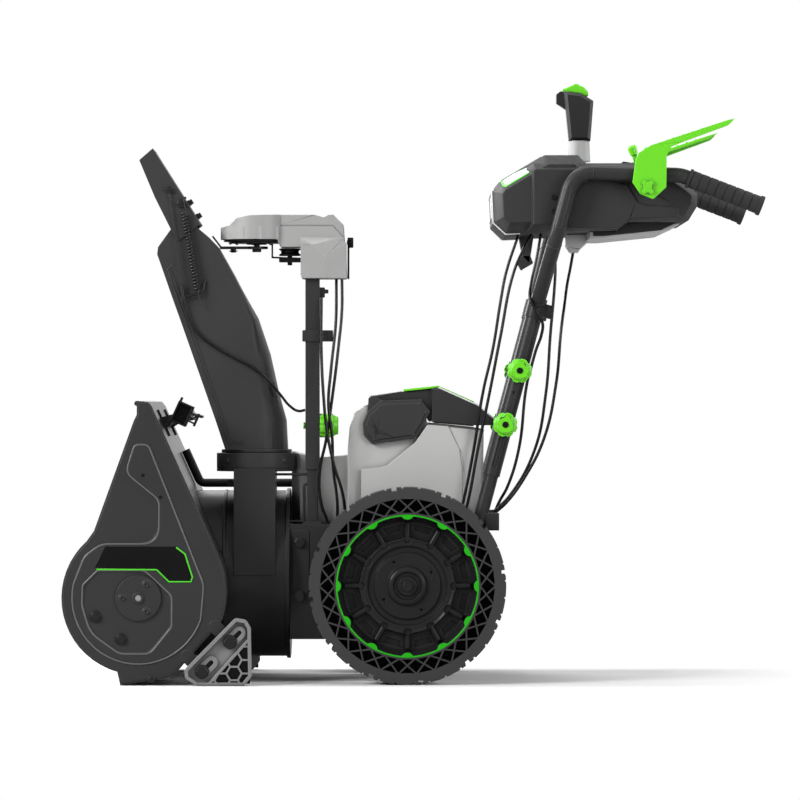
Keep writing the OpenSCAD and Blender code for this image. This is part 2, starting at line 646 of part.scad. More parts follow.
base_z = 857;
disc_d = 2 * turret_r - 10;
module turret_base() color([0.08, 0.08, 0.09]) translate([chute_x, chute_y, 0]) {
    difference() {
        union() {
            translate(at_z(base_z + 3)) cylinder(d = disc_d - 2 * fit, h = 4.8, $fn = 96);
            translate(at_z(base_z)) cylinder(d = disc_d - 20, h = 4, $fn = 96);
            translate(at_z(base_z - 2.4)) cylinder(d = 40, h = 3);
            for (a = [20:40:340]) rotate(a) translate([turret_r - 18, 0, base_z - 2]) cylinder(d = 5, h = 3);
        }
        translate(at_z(base_z - 4)) cylinder(d = out_d + 2 * fit, h = 20);
    }
    // strap and plate that hold the idler pulley
    plate(strip([[32, base_z + 1], [32, 831], [86.7, 829]], -3), -12, 12);
    plate([[44, 829], [44, 820], [86.7, 820], [86.7, 829]], -16, 16);
    difference() {
        translate([65, 0, 832.5]) cylinder(d = 43, h = 14.6);
        translate([65, 0, 836.5]) rotate_extrude() translate([21.5, 3.7]) circle(d = 8, $fn = 24);
    }
    translate([65, 0, 814]) cylinder(d = 10, h = 20, $fn = 6);
    // bracket and stop bolt behind the turret
    plate([[178.3, 860], [182, 860], [182, turret_low], [178.3, turret_low]], -20, 20);
    plate([[178.3, 868], [190, 868], [190, 848], [178.3, 848]], -26, -12);
    bar_y(183, -30, -10, 860, 9);
}

out_d = 12;
arm_z = 846;
module chute_arm() translate([chute_x, chute_y, 0]) {
    translate(at_z(arm_z)) linear_extrude(5) {
        circle(d = 44);
        translate([-72, -14]) square([72, 28]);
    }
    translate(at_z(arm_z - 6)) cylinder(d = out_d + 6, h = 7, $fn = 6);
    translate(at_z(arm_z)) cylinder(d = out_d, h = 860 - arm_z);
    // foot bolted to the back of the chute
    plate(strip([[-72, arm_z + 3], [-88, arm_z + 24]], -3.4), -14, 14);
    translate([-46, 0, arm_z - 7]) cylinder(d1 = 8, d2 = 20, h = 4);
    translate([-46, 0, arm_z - 3]) cylinder(d = 11, h = 4);
}

post_split = 413;
post_in = post_w - 7;
clamp_z = 499.6;
module square_bar(w, z0, z1) translate([post_x - w / 2, post_y - w / 2, z0]) cube([w, w, z1 - z0]);
module turret_post() color([0.1, 0.1, 0.11]) {
    difference() {
        square_bar(post_w, post_split, turret_low + 19);
        square_bar(post_in + 2 * gap, post_split - 1, clamp_z + 40);
        bar_x(post_x - post_w, post_x + post_w, post_y, clamp_z, bolt_d + 2 * gap);
    }
    difference() {
        square_bar(post_in, chassis_top, clamp_z + 30);
        bar_x(post_x - post_w, post_x + post_w, post_y, clamp_z, bolt_d + 2 * gap);
    }
    square_bar(post_w + 10, chassis_top, chassis_top + 4);
    // cable clamp round the post
    difference() {
        translate([post_x - post_w / 2 - 6, post_y - post_w / 2 - 4, 664]) cube([post_w + 32, post_w + 8, 22]);
        square_bar(post_w, 660, 690);
        translate([post_x + post_w / 2 + 8, post_y - 8, 660]) cube([12, 16, 30]);
    }
    // small clip below the turret
    translate([post_x + post_w / 2, post_y - 6, 750]) cube([10, 12, 20]);
    bar_x(post_x + post_w / 2, post_x + post_w / 2 + 17, post_y, 762, 8);
}

module lobed(d, n, depth) difference() {
    circle(d = d);
    for (a = [0:360 / n:359]) rotate(a) translate([d / 2 + depth * 0.9, 0]) circle(r = depth * 1.6, $fn = 20);
}

// A lobed clamp knob with its stud, drawn along +X from its seat
module knob_body(d, h, stud) {
    rotate([0, 90, 0]) {
        linear_extrude(h * 0.72) lobed(d, 8, 3);
        translate(at_z(h * 0.72)) cylinder(d1 = d * 0.86, d2 = d * 0.7, h = h * 0.28);
        translate(at_z(-stud)) cylinder(d = bolt_d, h = stud + 1);
    }
}

module post_knob() color([0.24, 0.82, 0.1]) {
    translate([post_x + post_w / 2 + gap, post_y, clamp_z]) knob_body(knob_d, 36, post_w + 4);
    bar_x(post_x - post_w / 2 - gap, post_x - post_w / 2 - gap - 4, post_y, clamp_z, 1.7 * bolt_d);
}

module wire_braces() {
    wire_y = post_y - 2;
    bar_x(neck_back, post_x - post_in / 2, wire_y, 404, 5);
    bent_bar([[drum_back_x, wire_y, 312], [post_x - post_w / 2 - 2.6, wire_y, 312],
        [post_x - post_w / 2 - 2.6, wire_y, 385], [post_x - post_in / 2, wire_y, 385]], 5, 5);
}

brace_d = 17;
brace_y = 90;
back_slope = unit([160, 74] + auger - lip_back);
// A point down the sloping back of the housing by a, and out from it by b
function on_back(a, b = 0) = lip_back + back_slope * a + left_of(back_slope) * b;
brace_top = on_back(100, brace_d / 2 + 0.3);
// the lower bend stands just above the drum
brace_low_z = drum_z + drum_r + brace_d / 2 + 4.8;
brace_low = on_back((lip_back[1] + 3.6 - brace_low_z) / -back_slope[1], brace_d / 2 + 0.3);
tool_at = on_back(36, 45);
tool_d = 18;
module tool_clip() difference() {
    union() {
        translate(tool_at) circle(d = tool_d + 12);
        polygon([on_back(24, 1), on_back(48, 1), on_back(42, 40), on_back(30, 40)]);
        polygon([on_back(8, seat), on_back(64, seat), on_back(64, 4), on_back(8, 4)]);
    }
    translate(tool_at) circle(d = tool_d + 2 * gap);
    polygon([on_back(36 - tool_d / 2 - gap, 45), on_back(36 + tool_d / 2 + gap, 45),
        on_back(36 + tool_d / 2 + gap, 80), on_back(36 - tool_d / 2 - gap, 80)]);
}

module braces() color([0.1, 0.1, 0.11]) {
    wire_braces();
    bent_bar([[brace_top[0], brace_y, brace_top[1]], [brace_low[0], brace_y, brace_low[1]],
        [drum_back_x + 2, brace_y, brace_low[1]]], 14, brace_d);
    bolt_y(brace_low[0] + 60, brace_y - brace_d / 2 + 1, brace_low[1], 7, 4);
    // two open clips for the clean-out tool
    for (y = [-150, 150]) slab(y - 9, y + 9) tool_clip();
}

module cleanout_tool() color([0.09, 0.09, 0.1]) translate([tool_at[0], 0, tool_at[1]]) {
    bar_y(0, -196, 170, 0, tool_d);
    // hollow end with its ribs
    difference() {
        slab(-252, -194) rotate(-24) square([32, 42], center = true);
        slab(-253, -214) rotate(-24) square([24, 34], center = true);
    }
    slab(-246, -214) rotate(-24) {
        for (k = [-9.5, -1.5, 6.5]) translate([15, k]) square([16, 3]);
        translate([28, -13]) square([4, 26]);
        for (k = [-29, 20]) translate([-15, k]) square([4, 9]);
    }
    // shovel end
    difference() {
        slab(168, 280) polygon(strip([[-20, -10], [0, -3], [22, -10]], 5));
        slab(262, 290) translate([-40, -20]) square([12, 40]);
    }
}

// ---------------------------------------------------------------- wheels
wheel_r = wheel_d / 2;
band_r = wheel_r - 20;
lattice_r = wheel_r - 50;
rim_r = lattice_r - 2.4;
spokes = 30;
module turned(points) rotate([90, 0, 0]) rotate_extrude($fn = 96) polygon(points);

rib_t = 3.2;
function polar(r, a) = r * [cos(a), sin(a)];

// Airless tyre: a tread band and a bead joined by crossed ribs, left between the cells
module tyre() color([0.1, 0.1, 0.1]) translate([axle_x, 0, axle_z]) {
    // web that closes the cells half way in
    slab(-tyre_in - tyre_w / 2 - 2, -tyre_in - tyre_w / 2 + 2) difference() {
        circle(r = band_r + 2, $fn = 120);
        circle(r = rim_r + seat, $fn = 120);
    }
    slab(-tyre_in - tyre_w, -tyre_in) difference() {
        circle(r = wheel_r, $fn = 120);
        circle(r = rim_r + seat, $fn = 120);
        for (a = [0:30:359]) rotate(a + 8) translate([wheel_r - 7, -5]) square([9, 10]);
        for (a = [0:10:359]) rotate(a + 3) translate([wheel_r - 3, -2]) square([5, 4]);
        step = 360 / spokes;
        cross_r = 2 * band_r * lattice_r * cos(step / 2) / (band_r + lattice_r);
        for (i = [0:spokes - 1]) let(a = i * step, o = polar(band_r, a), n = polar(lattice_r, a),
                x0 = polar(cross_r, a - step / 2), x1 = polar(cross_r, a + step / 2)) {
            polygon(inset([o, x0, n, x1], rib_t / 2));
            polygon(inset([polar(band_r, a + step), o, x1], rib_t / 2));
            polygon(inset([x1, n, polar(lattice_r, a + step)], rib_t / 2));
        }
    }
}

face = tyre_w - 30;
ring_t = 3.5;
module rim() color([0.08, 0.08, 0.08]) translate([axle_x, -tyre_in, axle_z]) difference() {
    union() {
        // barrel, web, raised rings and hub, drawn as radius and depth
        turned([[rim_r - 4, 4], [rim_r, 4], [rim_r, tyre_w - ring_t], [rim_r - 4, tyre_w - ring_t],
            [rim_r - 8, face + 4], [rim_r - 14, face - 4], [94, face - 4],
            [92, face + 14], [90, face + 16], [86, face + 13], [78, face + 13], [74, face + 8],
            [67, face + 8], [63, face + 12], [40, face + 12], [36, face + 18], [32, face + 20],
            [28, face + 20], [26, face + 16], [20, face + 16], [18, face + 22], [0, face + 22],
            [0, face - 10], [24, face - 30], [30, face - 12], [rim_r - 16, face - 12],
            [rim_r - 4, face - 14]]);
        for (a = [0:30:359]) rotate([0, a, 0]) rod([88, -face, 0], [121, -face, 0], 12);
        rod([0, -face - 20, 0], [0, -face - 30, 0], 18);
    }
    rod([0, 5, 0], [0, -face - 10, 0], shaft_d + 2 * fit);
    // windows between the ribs, screws, and half-round notches round the hub
    slab(-face - 10, -face + 9) for (a = [15:30:359]) rotate(a)
        polygon([polar(106, -8), polar(121, -9), polar(121, 9), polar(106, 8)]);
    for (a = [30:90:359]) rotate([0, -a, 0]) rod([53, -face - 4, 0], [53, -face - 14, 0], 6);
    for (a = [0:30:359]) rotate([0, a, 0]) rod([91, -face - 8, 0], [91, -face - 20, 0], 19);
}

// Green ring at the edge of the rim, with its twelve tabs
module rim_ring() color([0.24, 0.82, 0.1]) translate([axle_x, -tyre_in, axle_z])
    slab(-tyre_w, -tyre_w + ring_t) difference() {
        circle(r = rim_r, $fn = 120);
        difference() {
            circle(r = rim_r - 3.2, $fn = 120);
            for (a = [0:30:359]) rotate(a) translate([rim_r + 2.8, 0]) circle(r = 12.8);
        }
    }

module half_shaft() color([0.55, 0.55, 0.57])
    bar_y(axle_x, -tyre_in - tyre_w + 45, -40, axle_z, shaft_d);

module tyre_left() tyre();
module rim_left() rim();
module rim_ring_left() rim_ring();
module half_shaft_left() half_shaft();
module tyre_right() mirror([0, 1, 0]) tyre();
module rim_right() mirror([0, 1, 0]) rim();
module rim_ring_right() mirror([0, 1, 0]) rim_ring();
module half_shaft_right() mirror([0, 1, 0]) half_shaft();

// ---------------------------------------------------------------- skid shoes and bolts
skid_y = plate_y + emboss_t + gap;
skid_t = 18;
skid_travel = 25;
skid_line = rounded([[auger_x + 187, 131], [auger_x + 208, 127], [auger_x + 217, 112], [auger_x + 218.5, 18],
    [auger_x + 204, 0], [auger_x + 113, 0], [auger_x + 91, 15], [auger_x + 89, 31]], 8);
skid_rib = [[auger_x + 134, 5], [auger_x + 216, 96]];
cell_r = 13;
module slot(a, b, d) {
    translate(a) circle(d = d);
    translate(b) circle(d = d);
    polygon(strip([a + left_of(unit(b - a)) * -d / 2, b + left_of(unit(b - a)) * -d / 2], d));
}
module skid_slots(d) for (s = skid_studs) slot(s, s + skid_travel * [0.7071, 0.7071], d);

module skid_rim() difference() {
    polygon(skid_line);
    polygon(inset(skid_line, 6.5));
}
module honeycomb() intersection() {
    polygon([skid_rib[0] + [3, 0], skid_rib[1] + [0, -3], [auger_x + 215, 4]]);
    difference() {
        translate([auger_x + 130, 2]) square([90, 96]);
        for (i = [0:5], j = [0:5]) translate([auger_x + 140 + i * cell_r * 1.72,
            -2 + (j + (i % 2) / 2) * cell_r * 2]) circle(r = cell_r, $fn = 6);
    }
}

module skid() color([0.42, 0.43, 0.45]) difference() {
    union() {
        plate(skid_line, -skid_y - 4, -skid_y);
        slab(-skid_y - skid_t, -skid_y - 4) skid_rim();
        slab(-skid_y - skid_t + 3, -skid_y - 3) {
            intersection() {
                polygon(strip(skid_rib, -5));
                polygon(inset(skid_line, 2));
            }
            honeycomb();
        }
        slab(-skid_y - 9, -skid_y - 2) intersection() {
            skid_slots(25);
            polygon(inset(skid_line, 1));
        }
    }
    slab(-skid_y - 30, -skid_y + 1) skid_slots(bolt_d + 2 * gap);
}
module skid_left() skid();
module skid_right() mirror([0, 1, 0]) skid();

chassis_bolt_at = [[drum_back_x + 20, 271], [drum_back_x + 20, 166]];
module chassis_bolts() color([0.2, 0.2, 0.21]) both_sides() {
    for (s = skid_studs) {
        bar_y(s[0], -skid_y - 11, -plate_y - emboss_t, s[1], bolt_d);
        bolt_y(s[0], -skid_y - 9 - gap, s[1], 13, 6);
    }
    for (s = small_bolts) {
        bar_y(s[0], -plate_y - 1.6, -plate_y, s[1], 25);
        rod([s[0], -plate_y, s[1]], [s[0], -plate_y - 7, s[1]], 19, 16);
    }
    for (s = chassis_bolt_at) bolt_y(s[0], -half_chassis - 2, s[1], 11, 6);
    bolt_y(auger_x + 26, -plate_y - emboss_t / 2, 12, 7, 3);
}

// ---------------------------------------------------------------- chute and deflector
chute_half = chute_w / 2;
chute_base = [chute_x, ring_z];
// Front edge, side crease and bulge of the round back, from the ring to the top
chute_steps = [
    [[-60, 6.6], [0, 6.6], 62], [[-79, 64], [0, 64], 59], [[-99, 121], [-1, 121], 44.5],
    [[-122.5, 188], [-3, 192], 30.5], [[-145, 252], [-10.5, 262], 14.5], [[-164, 305], [-28, 317], 1],
    [[-181, 354], [-45.4, 351.3], 0], [[-193, 388], [-73.9, 402], 0], [[-191.5, 402], [-95, 424], 0],
    [[-166.4, 437.2], [-114, 440], 0]];
function chute_section(s, half) = let(
    front = chute_base + s[0], crease = chute_base + s[1], u = unit(crease - front),
    depth = norm(crease - front), w = half, t = chute_t, n = 12,
    round_back = [for (i = [0:n]) let(a = 180 * i / n) [s[2] * sin(a), -w * cos(a)]],
    inner_back = [for (i = [n:-1:0]) let(a = 180 * i / n) [s[2] * sin(a) - t, -(w - t) * cos(a)]],
    loop = concat([[-depth, -w]], round_back, [[-depth, w], [-depth, w - t]], inner_back,
        [[-depth, -w + t]]))
    [for (p = loop) let(q = crease + u * p[0]) [q[0], chute_y + p[1], q[1]]];

ear_r = 7.8;
module chute() color([0.13, 0.13, 0.14]) {
    skin([for (s = chute_steps) chute_section(s, chute_half)], walled = true);
    translate([chute_x, chute_y, ring_z + gap]) difference() {
        union() {
            cylinder(d = 138, h = 7 - gap);
            translate(at_z(-ring_h + 2)) cylinder(d = spigot_d, h = ring_h);
        }
        translate(at_z(-ring_h)) cylinder(d = spigot_d - 2 * chute_t, h = ring_h + 10);
    }
    // ears up to the deflector pivot
    difference() {
        for (s = [-1, 1]) translate([pivot_x, chute_y + s * (chute_half - chute_t / 2), pivot_z])
            plate(concat(arc([0, 0], ear_r, 200, 20, 8), [[30, -44], [26, -56], [-22, -60], [-16, -48]]),
                -chute_t / 2, chute_t / 2);
        bar_y(pivot_x, chute_y - chute_half - 1, chute_y + chute_half + 1, pivot_z, bolt_d + 2 * fit);
    }
    // clip on the back for the control cable
    translate([chute_x + 32, chute_y - chute_half + 22, 553]) rotate([0, -12, 0]) cube([10, 14, 30]);
}

deflector_half = chute_half + gap + chute_t;
hood_line = [[-54.6, 108], [38.5, -39], [-5.5, -72.6], [-19, -50.7], [-50.6, 12.7], [-81, 85]];
module deflector() color([0.12, 0.12, 0.13]) translate([pivot_x, chute_y, pivot_z]) {
    both_sides() difference() {
        plate(rounded(hood_line, 3), -deflector_half, -deflector_half + chute_t);
        bar_y(0, -deflector_half - 1, -deflector_half + chute_t + 1, 0, bolt_d + 2 * fit);
    }
    plate(strip([hood_line[0], hood_line[1]], -chute_t), -deflector_half + chute_t, deflector_half - chute_t);
    // rolled end and the hardware on the back
    bar_y(-55, -deflector_half + chute_t, deflector_half - chute_t, 104, 6);
    for (k = [0.72, 0.9]) translate([hood_line[0][0] + k * 93, 0, hood_line[0][1] - k * 147])
        rotate([0, 57.7, 0]) {
            translate([-5, -20, 0]) cube([10, 40, 5]);
            for (s = [-12, 12]) translate([0, s, 4]) cylinder(d = 9, h = 6, $fn = 6);
        }
    // anchor of the wire and post of the spring
    bar_y(-23, -deflector_half - 7, -deflector_half, 27, 7);
    bar_y(9, -deflector_half - 7.5, -deflector_half, 11, 5);
}

side_y = chute_y - chute_half;
module chute_fittings() color([0.15, 0.15, 0.16]) {
    chute_arm();
    bar_y(pivot_x, chute_y - deflector_half - 3, chute_y - chute_half + chute_t + 4, pivot_z, bolt_d);
    bar_y(pivot_x, chute_y + chute_half - chute_t - 4, chute_y + deflector_half + 3, pivot_z, bolt_d);
    bolt_y(pivot_x, chute_y - deflector_half - gap, pivot_z, 7.5, 4);
    bolt_y(pivot_x, chute_y + deflector_half + gap, pivot_z, 7.5, 4, 1);
    // wire bracket on the near side that holds the ferrule and the tail of the spring
    bent_bar([[-451, side_y - 9, 750], [-440, side_y - 9, 752], [-412, side_y - 9, 758],
        [-405, side_y - 2.4, 782]], 3, 4);
    rod([-447.7, side_y - 9, 744], [-450.5, side_y - 9, 774], 7);
}

spring_y = side_y - 12.6;
module deflector_spring() color([0.5, 0.5, 0.52]) {
    rod([-447.4, spring_y, 916], [-420.4, spring_y, 763], 9.4);
    rod([-446, spring_y, 946], [-447.4, spring_y, 916], 2.4);
    rod([-420.4, spring_y, 763], [-413, spring_y, 733], 2.4);
}
module deflector_wire() color([0.5, 0.5, 0.52])
    rod([-476.5, side_y - 9, 955.8], [-450.7, side_y - 9, 775], 2.2);

deflector_route = [[-447.5, -158, 743], [-443, -158, 720], [-426, -158, 686], [-386, -157, 653],
    [-352, -157, 634], [-318, -156, 616], [-287, -152, 593], [-260, -140, 561], [-240, -128, 537],
    [-224, -121, 528], [-211.2, -120, 530]];
module deflector_cable() color([0.07, 0.07, 0.07]) cable(curve(deflector_route, 2), 5.4);

turret_routes = [
    [[-139, -126, 786], [-139, -134, 726], [-146, -144, 650], [-158, -149, 552], [-170, -149, 470],
        [-182, -145, 412], [-180, -139, 350], [-166, -132, 308.3]],
    [[-150, -118, 786], [-151, -138, 700], [-160, -152, 610], [-165, -157, 540], [-158, -157, 480],
        [-156, -153, 420], [-148, -142, 350], [-148, -132, 308.2]],
    [[-179, -138, 750], [-179, -152, 650], [-174, -165, 550], [-168, -165, 490], [-156, -162, 430],
        [-136, -148, 360], [-132, -132, 308.2]]];
module turret_cables() color([0.07, 0.07, 0.07]) for (r = turret_routes) cable(curve(r, 2), 6);

// ---------------------------------------------------------------- handle
handle_x = 126;
handle_z = 300;
function on_handle(s) = [handle_x + s * sin(handle_tilt), handle_z + s * cos(handle_tilt)];
module on_axis() translate([handle_x, -handle_y, handle_z]) rotate([0, handle_tilt, 0]) children();
low_knob = 208.4;
high_knob = 317.2;
sleeve_low = 106;
sleeve_top = 424;
tube_top = high_knob + handle_travel + 8;
module axis_slot(z0, z1, y0, y1, d) {
    translate([-d / 2, y0, z0]) cube([d, y1 - y0, z1 - z0]);
    for (z = [z0, z1]) bar_y(0, y0, y1, z, d);
}

module lower_tubes() color([0.11, 0.11, 0.12]) both_sides() {
    on_axis() difference() {
        translate(at_z(-40)) cylinder(d = inner_d, h = tube_top + 40);
        translate(at_z(-30)) cylinder(d = inner_d - 5, h = tube_top + 40);
        bar_y(0, -20, 20, low_knob, bolt_d + 2 * gap);
        axis_slot(high_knob, high_knob + handle_travel, -20, 20, bolt_d + 2 * gap);
    }
    // flattened foot bolted to the chassis
    foot = [[chassis_back - 62, chassis_top - 12], [chassis_back - 16, chassis_top - 6],
        [chassis_back - 10, chassis_top - 50], [chassis_back - 18, 200], [chassis_back - 60, 206]];
    plate(rounded(foot, 8), -handle_y + 2, -half_chassis);
    for (p = [[chassis_back - 48, 222], [chassis_back - 48, 276]]) bolt_y(p[0], -handle_y + 2, p[1], 8, 5);
    // anchor blocks for the control cables
    translate([chassis_back - 74, -half_chassis - 15, chassis_top - 24]) cube([20, 15, 18]);
    translate([chassis_back - 9, -handle_y - 11, chassis_top - 12]) cube([27, 24, 34]);
}

panel_t = 3;
bar_y1 = console_w / 2 + bar_d / 2 + 12;
bend_x = handle_x + (bar_z - handle_z) * tan(handle_tilt);
grip_dir = [cos(21), 0, -sin(21)];
grip_y = bar_y1;
grip_len = 145;
grip_at = [534, -grip_y, bar_z - 13.5];
// The tubes spread between these two points to pass outside the console
splay_at = 446;
splay_end = 584;
function handle_point(s) = let(p = on_handle(s)) [p[0], -handle_y, p[1]];
module handlebar() color([0.1, 0.1, 0.11]) both_sides() {
    on_axis() difference() {
        union() {
            translate(at_z(sleeve_low)) cylinder(d = sleeve_d, h = sleeve_top - sleeve_low);
            translate(at_z(sleeve_top)) cylinder(d = sleeve_d + 4, h = 40);
            translate([10, -12, sleeve_top + 6]) cube([22, 24, 26]);
        }
        translate(at_z(sleeve_low - 1)) cylinder(d = inner_d + 2 * fit, h = tube_top + 3 - sleeve_low);
        axis_slot(low_knob - handle_travel - 2, low_knob, -30, 30, bolt_d + 2 * gap);
        bar_y(0, -30, 30, high_knob, bolt_d + 2 * gap);
        bar_y(0, -30, 0, high_knob - 44, 6);
    }
    beside = handle_point(splay_end);
    bent_bar([handle_point(sleeve_top - 6), handle_point(splay_at), [beside[0], -bar_y1, beside[2]],
        [bend_x, -bar_y1, bar_z], grip_at - grip_dir * 18, grip_at + grip_dir * grip_len], 48, bar_d);
    // saddles that carry the console
    for (x = [bend_x + 50, bend_x + 96]) translate([x, -bar_y1 - 4, bar_z - 15])
        cube([20, bar_y1 + 4 - console_w / 2 - panel_t, 12]);
}

// Length of each padded step of the grips
pad_step = 17.6;
module grips() color([0.06, 0.06, 0.06]) both_sides() difference() {
    union() {
        rod(grip_at, grip_at + grip_dir * (grip_len - 1), grip_d - 2.6);
        for (k = [0:7]) rod(grip_at + grip_dir * (3 + pad_step * k),
            grip_at + grip_dir * (1 + pad_step * (k + 1)), grip_d);
        rod(grip_at + grip_dir * (grip_len - 4), grip_at + grip_dir * (grip_len + 4), grip_d + 4);
        rod(grip_at - grip_dir * 4, grip_at + grip_dir * 2, grip_d + 3);
    }
    rod(grip_at - grip_dir * 6, grip_at + grip_dir * grip_len, bar_d + 0.02);
}

module handle_knob(s) let(p = on_handle(s)) color([0.24, 0.82, 0.1])
    translate([p[0], -handle_y - sleeve_d / 2 - gap, p[1]]) rotate([0, 0, -90])
        knob_body(knob_d, 30, sleeve_d + 6);
module knob_lower_left() handle_knob(low_knob);
module knob_upper_left() handle_knob(high_knob);
module knob_lower_right() mirror([0, 1, 0]) handle_knob(low_knob);
module knob_upper_right() mirror([0, 1, 0]) handle_knob(high_knob);

// ---------------------------------------------------------------- console
console_half = console_w / 2;
console_line = [[220, 1000], [234, 1009], [431, 1009], [508, 984], [534, 966], [552, 950], [551, 925],
    [534, 897], [400, 880], [262, 876], [220, 876]];
cowl_line = [[153, 956], [166, 972], [256, 1026], [321, 1026], [338, 1008], [338, 878.2], [180, 872],
    [156, 894]];
// Raised panel beside the handle tube, with its notch for the squeeze lever
panel_line = [[302, 881, 4], [291, 902, 8], [314, 946, 20], [332, 972, 20], [354, 981, 10], [414, 981, 3],
    [414, 966, 6], [434, 933, 8], [446, 927, 6], [514, 922, 4], [514, 903, 3], [420, 901, 6], [395, 881, 4]];
stick = [322.7, 978];
lever_at = [451, 959];
lever_y = bar_y1 + grip_d / 2 + 3;
speed_at = [452, 980];
speed_y = 62;
module console_body() color([0.1, 0.1, 0.11]) {
    difference() {
        union() {
            hull() {
                plate(console_line, -console_half + 34, console_half - 34);
                plate(inset(console_line, 13), -console_half, console_half);
            }
            // cowl in front, raised side panels and the bracket below
            hull() {
                plate(cowl_line, -console_half + 62, console_half - 62);
                plate(inset(cowl_line, 20), -console_half + 8, console_half - 8);
            }
            both_sides() plate(rounded(panel_line, 4), -console_half - panel_t, -console_half + 20);
            plate(rounded([[404, 1007], [412, 1018], [500, 1004], [508, 984]], 4), -100, 100);
            plate(rounded([[208, 880], [240, 880], [233, 834], [238, 820], [214, 806], [206, 820], [216, 834]],
                2), -18, 18);
        }
        // shelf over the rear half of the pale cover
        plate([[396, 872], [396, 880], [418, 896], [540, 896], [540, 872]], -console_half, console_half);
        translate([stick[0] - 68, -54, stick[1] - 46]) cube([110, 108, 120]);
        both_sides() translate([speed_at[0] - 42, speed_y - 8, speed_at[1] - 20]) cube([88, 16, 80]);
        both_sides() bar_y(lever_at[0], -console_half - 1, -console_half + 12, lever_at[1], 12);
    }
    // gimbal brackets
    for (s = [-1, 1]) difference() {
        translate([stick[0] + s * 26 - 4, -7, stick[1] - 47]) cube([8, 14, 54]);
        bar_x(stick[0] + s * 26 - 5, stick[0] + s * 26 + 5, 0, stick[1], 5 + 2 * fit);
    }
    both_sides() {
        bar_y(lever_at[0], -lever_y - 9, -console_half + 12, lever_at[1], 12);
        bar_y(lever_at[0], -lever_y - 12, -lever_y - 8, lever_at[1], 17);
        bar_y(lever_at[0], -lever_y + 4, -console_half + 6, lever_at[1], 20);
        bar_y(speed_at[0], speed_y - 10, speed_y + 10, speed_at[1], 5);
    }
}

module console_cover() color([0.6, 0.61, 0.62]) {
    plate([[344, 864], [344, 878], [396, 879.7], [418, 895.7], [521, 895.7], [518, 891], [484, 875.5],
        [370, 864]], -149, 149);
    // boot below the stick
    plate(rounded([[301.5, 876.5], [338, 877.9], [349, 878.1], [349, 864], [331, 847], [327, 841],
        [311, 841], [303.5, 851]], 2), -22, 22);
}

module headlights() color([0.9, 0.93, 0.95]) both_sides() {
    plate(strip([[155, 905], [153.2, 945]], 1.4), -180, -40);
    plate(strip([[172, 975.9], [250, 1022.7]], 1.4), -180, -40);
}

lever_line = [[-29, 9], [-23, 52], [-17, 66], [7, 81], [150, 128], [171, 134], [155, 119], [68, 87], [46, 78],
    [37, 62], [36, 0], [11, -23], [-14, -13]];
module lever() color([0.24, 0.82, 0.1]) difference() {
    translate([lever_at[0], 0, lever_at[1]]) {
        plate(rounded(lever_line, 3), -lever_y - 7, -lever_y);
        // blade over the grip, with ribs
        plate([[16, 83], [150, 127.2], [169, 133], [152, 121.4], [20, 77.6]], -lever_y - 7, -grip_y + 20);
        for (k = [0:4]) let(f = 0.3 + k * 0.13) translate([7 + 143 * f, 0, 80 + 47 * f])
            bar_y(0, -lever_y - 4, -grip_y + 16, 0, 4);
        bar_y(0, -lever_y - 7.6, -lever_y, 0, 24);
    }
    bar_y(lever_at[0], -lever_y - 9, -lever_y + 1, lever_at[1], 12 + 2 * fit);
}
module auger_lever() lever();
module drive_lever() mirror([0, 1, 0]) lever();

module speed_lever(lean) color([0.24, 0.82, 0.1]) translate([speed_at[0], 0, speed_at[1]])
    rotate([0, lean, 0]) difference() {
        union() {
            slab(-3, 3) slot([0, 0], [0, 58], 10);
            translate([0, 0, 62]) {
                rod([0, 0, -8], [0, 0, 8], 15, 19);
                translate(at_z(8)) cylinder(d1 = 19, d2 = 12, h = 4);
            }
        }
        bar_y(0, -5, 5, 0, 5 + 2 * fit);
    }
module speed_lever_left() translate([0, -speed_y, 0]) speed_lever(-17);
module speed_lever_right() translate([0, speed_y, 0]) speed_lever(14);

module joystick_gimbal() color([0.3, 0.3, 0.32]) translate([stick[0], 0, stick[1]]) difference() {
    union() {
        translate(at_z(-5)) cylinder(r = 20, h = 10);
        bar_x(-30, -19, 0, 0, 5);
        bar_x(19, 30, 0, 0, 5);
    }
    translate(at_z(-6)) cylinder(r = 14, h = 12);
    bar_y(0, -21, 21, 0, 5 + 2 * fit);
}

grip_line = [[-14, 84], [-19.5, 146], [-24, 182], [10, 178], [34.6, 163], [28.5, 84]];
nose_line = [[-39, 159], [-39, 176], [-31, 182], [-5, 180], [-5, 150], [-19.5, 146], [-28, 152]];
module joystick() color([0.12, 0.12, 0.13]) translate([stick[0], 0, stick[1]]) difference() {
    union() {
        bar_y(0, -19.5, 19.5, 0, 5);
        cylinder(d = 10, h = 60);
        // dust dome
        difference() {
            sphere(r = 40);
            sphere(r = 36);
            translate([-50, -50, -50]) cube([100, 100, 69]);
        }
        translate([5, 0, 43]) cylinder(d1 = 48, d2 = 44, h = 42);
        translate([5, 0, 38]) cylinder(d = 30, h = 8);
        hull() {
            plate(grip_line, -17, 17);
            plate(inset(grip_line, 6), -25, 25);
        }
        plate(rounded(nose_line, 4), -16, 16);
    }
    plate([[-27, 168], [-27, 200], [25, 200], [25, 168]], -13, 13);
}

module joystick_button() color([0.24, 0.82, 0.1]) translate([stick[0], 0, stick[1]])
    plate(rounded([[-26.5, 173], [-26.5, 186], [0, 197.5], [17, 190], [24.5, 180], [24.5, 173]], 2),
        -12.5, 12.5);

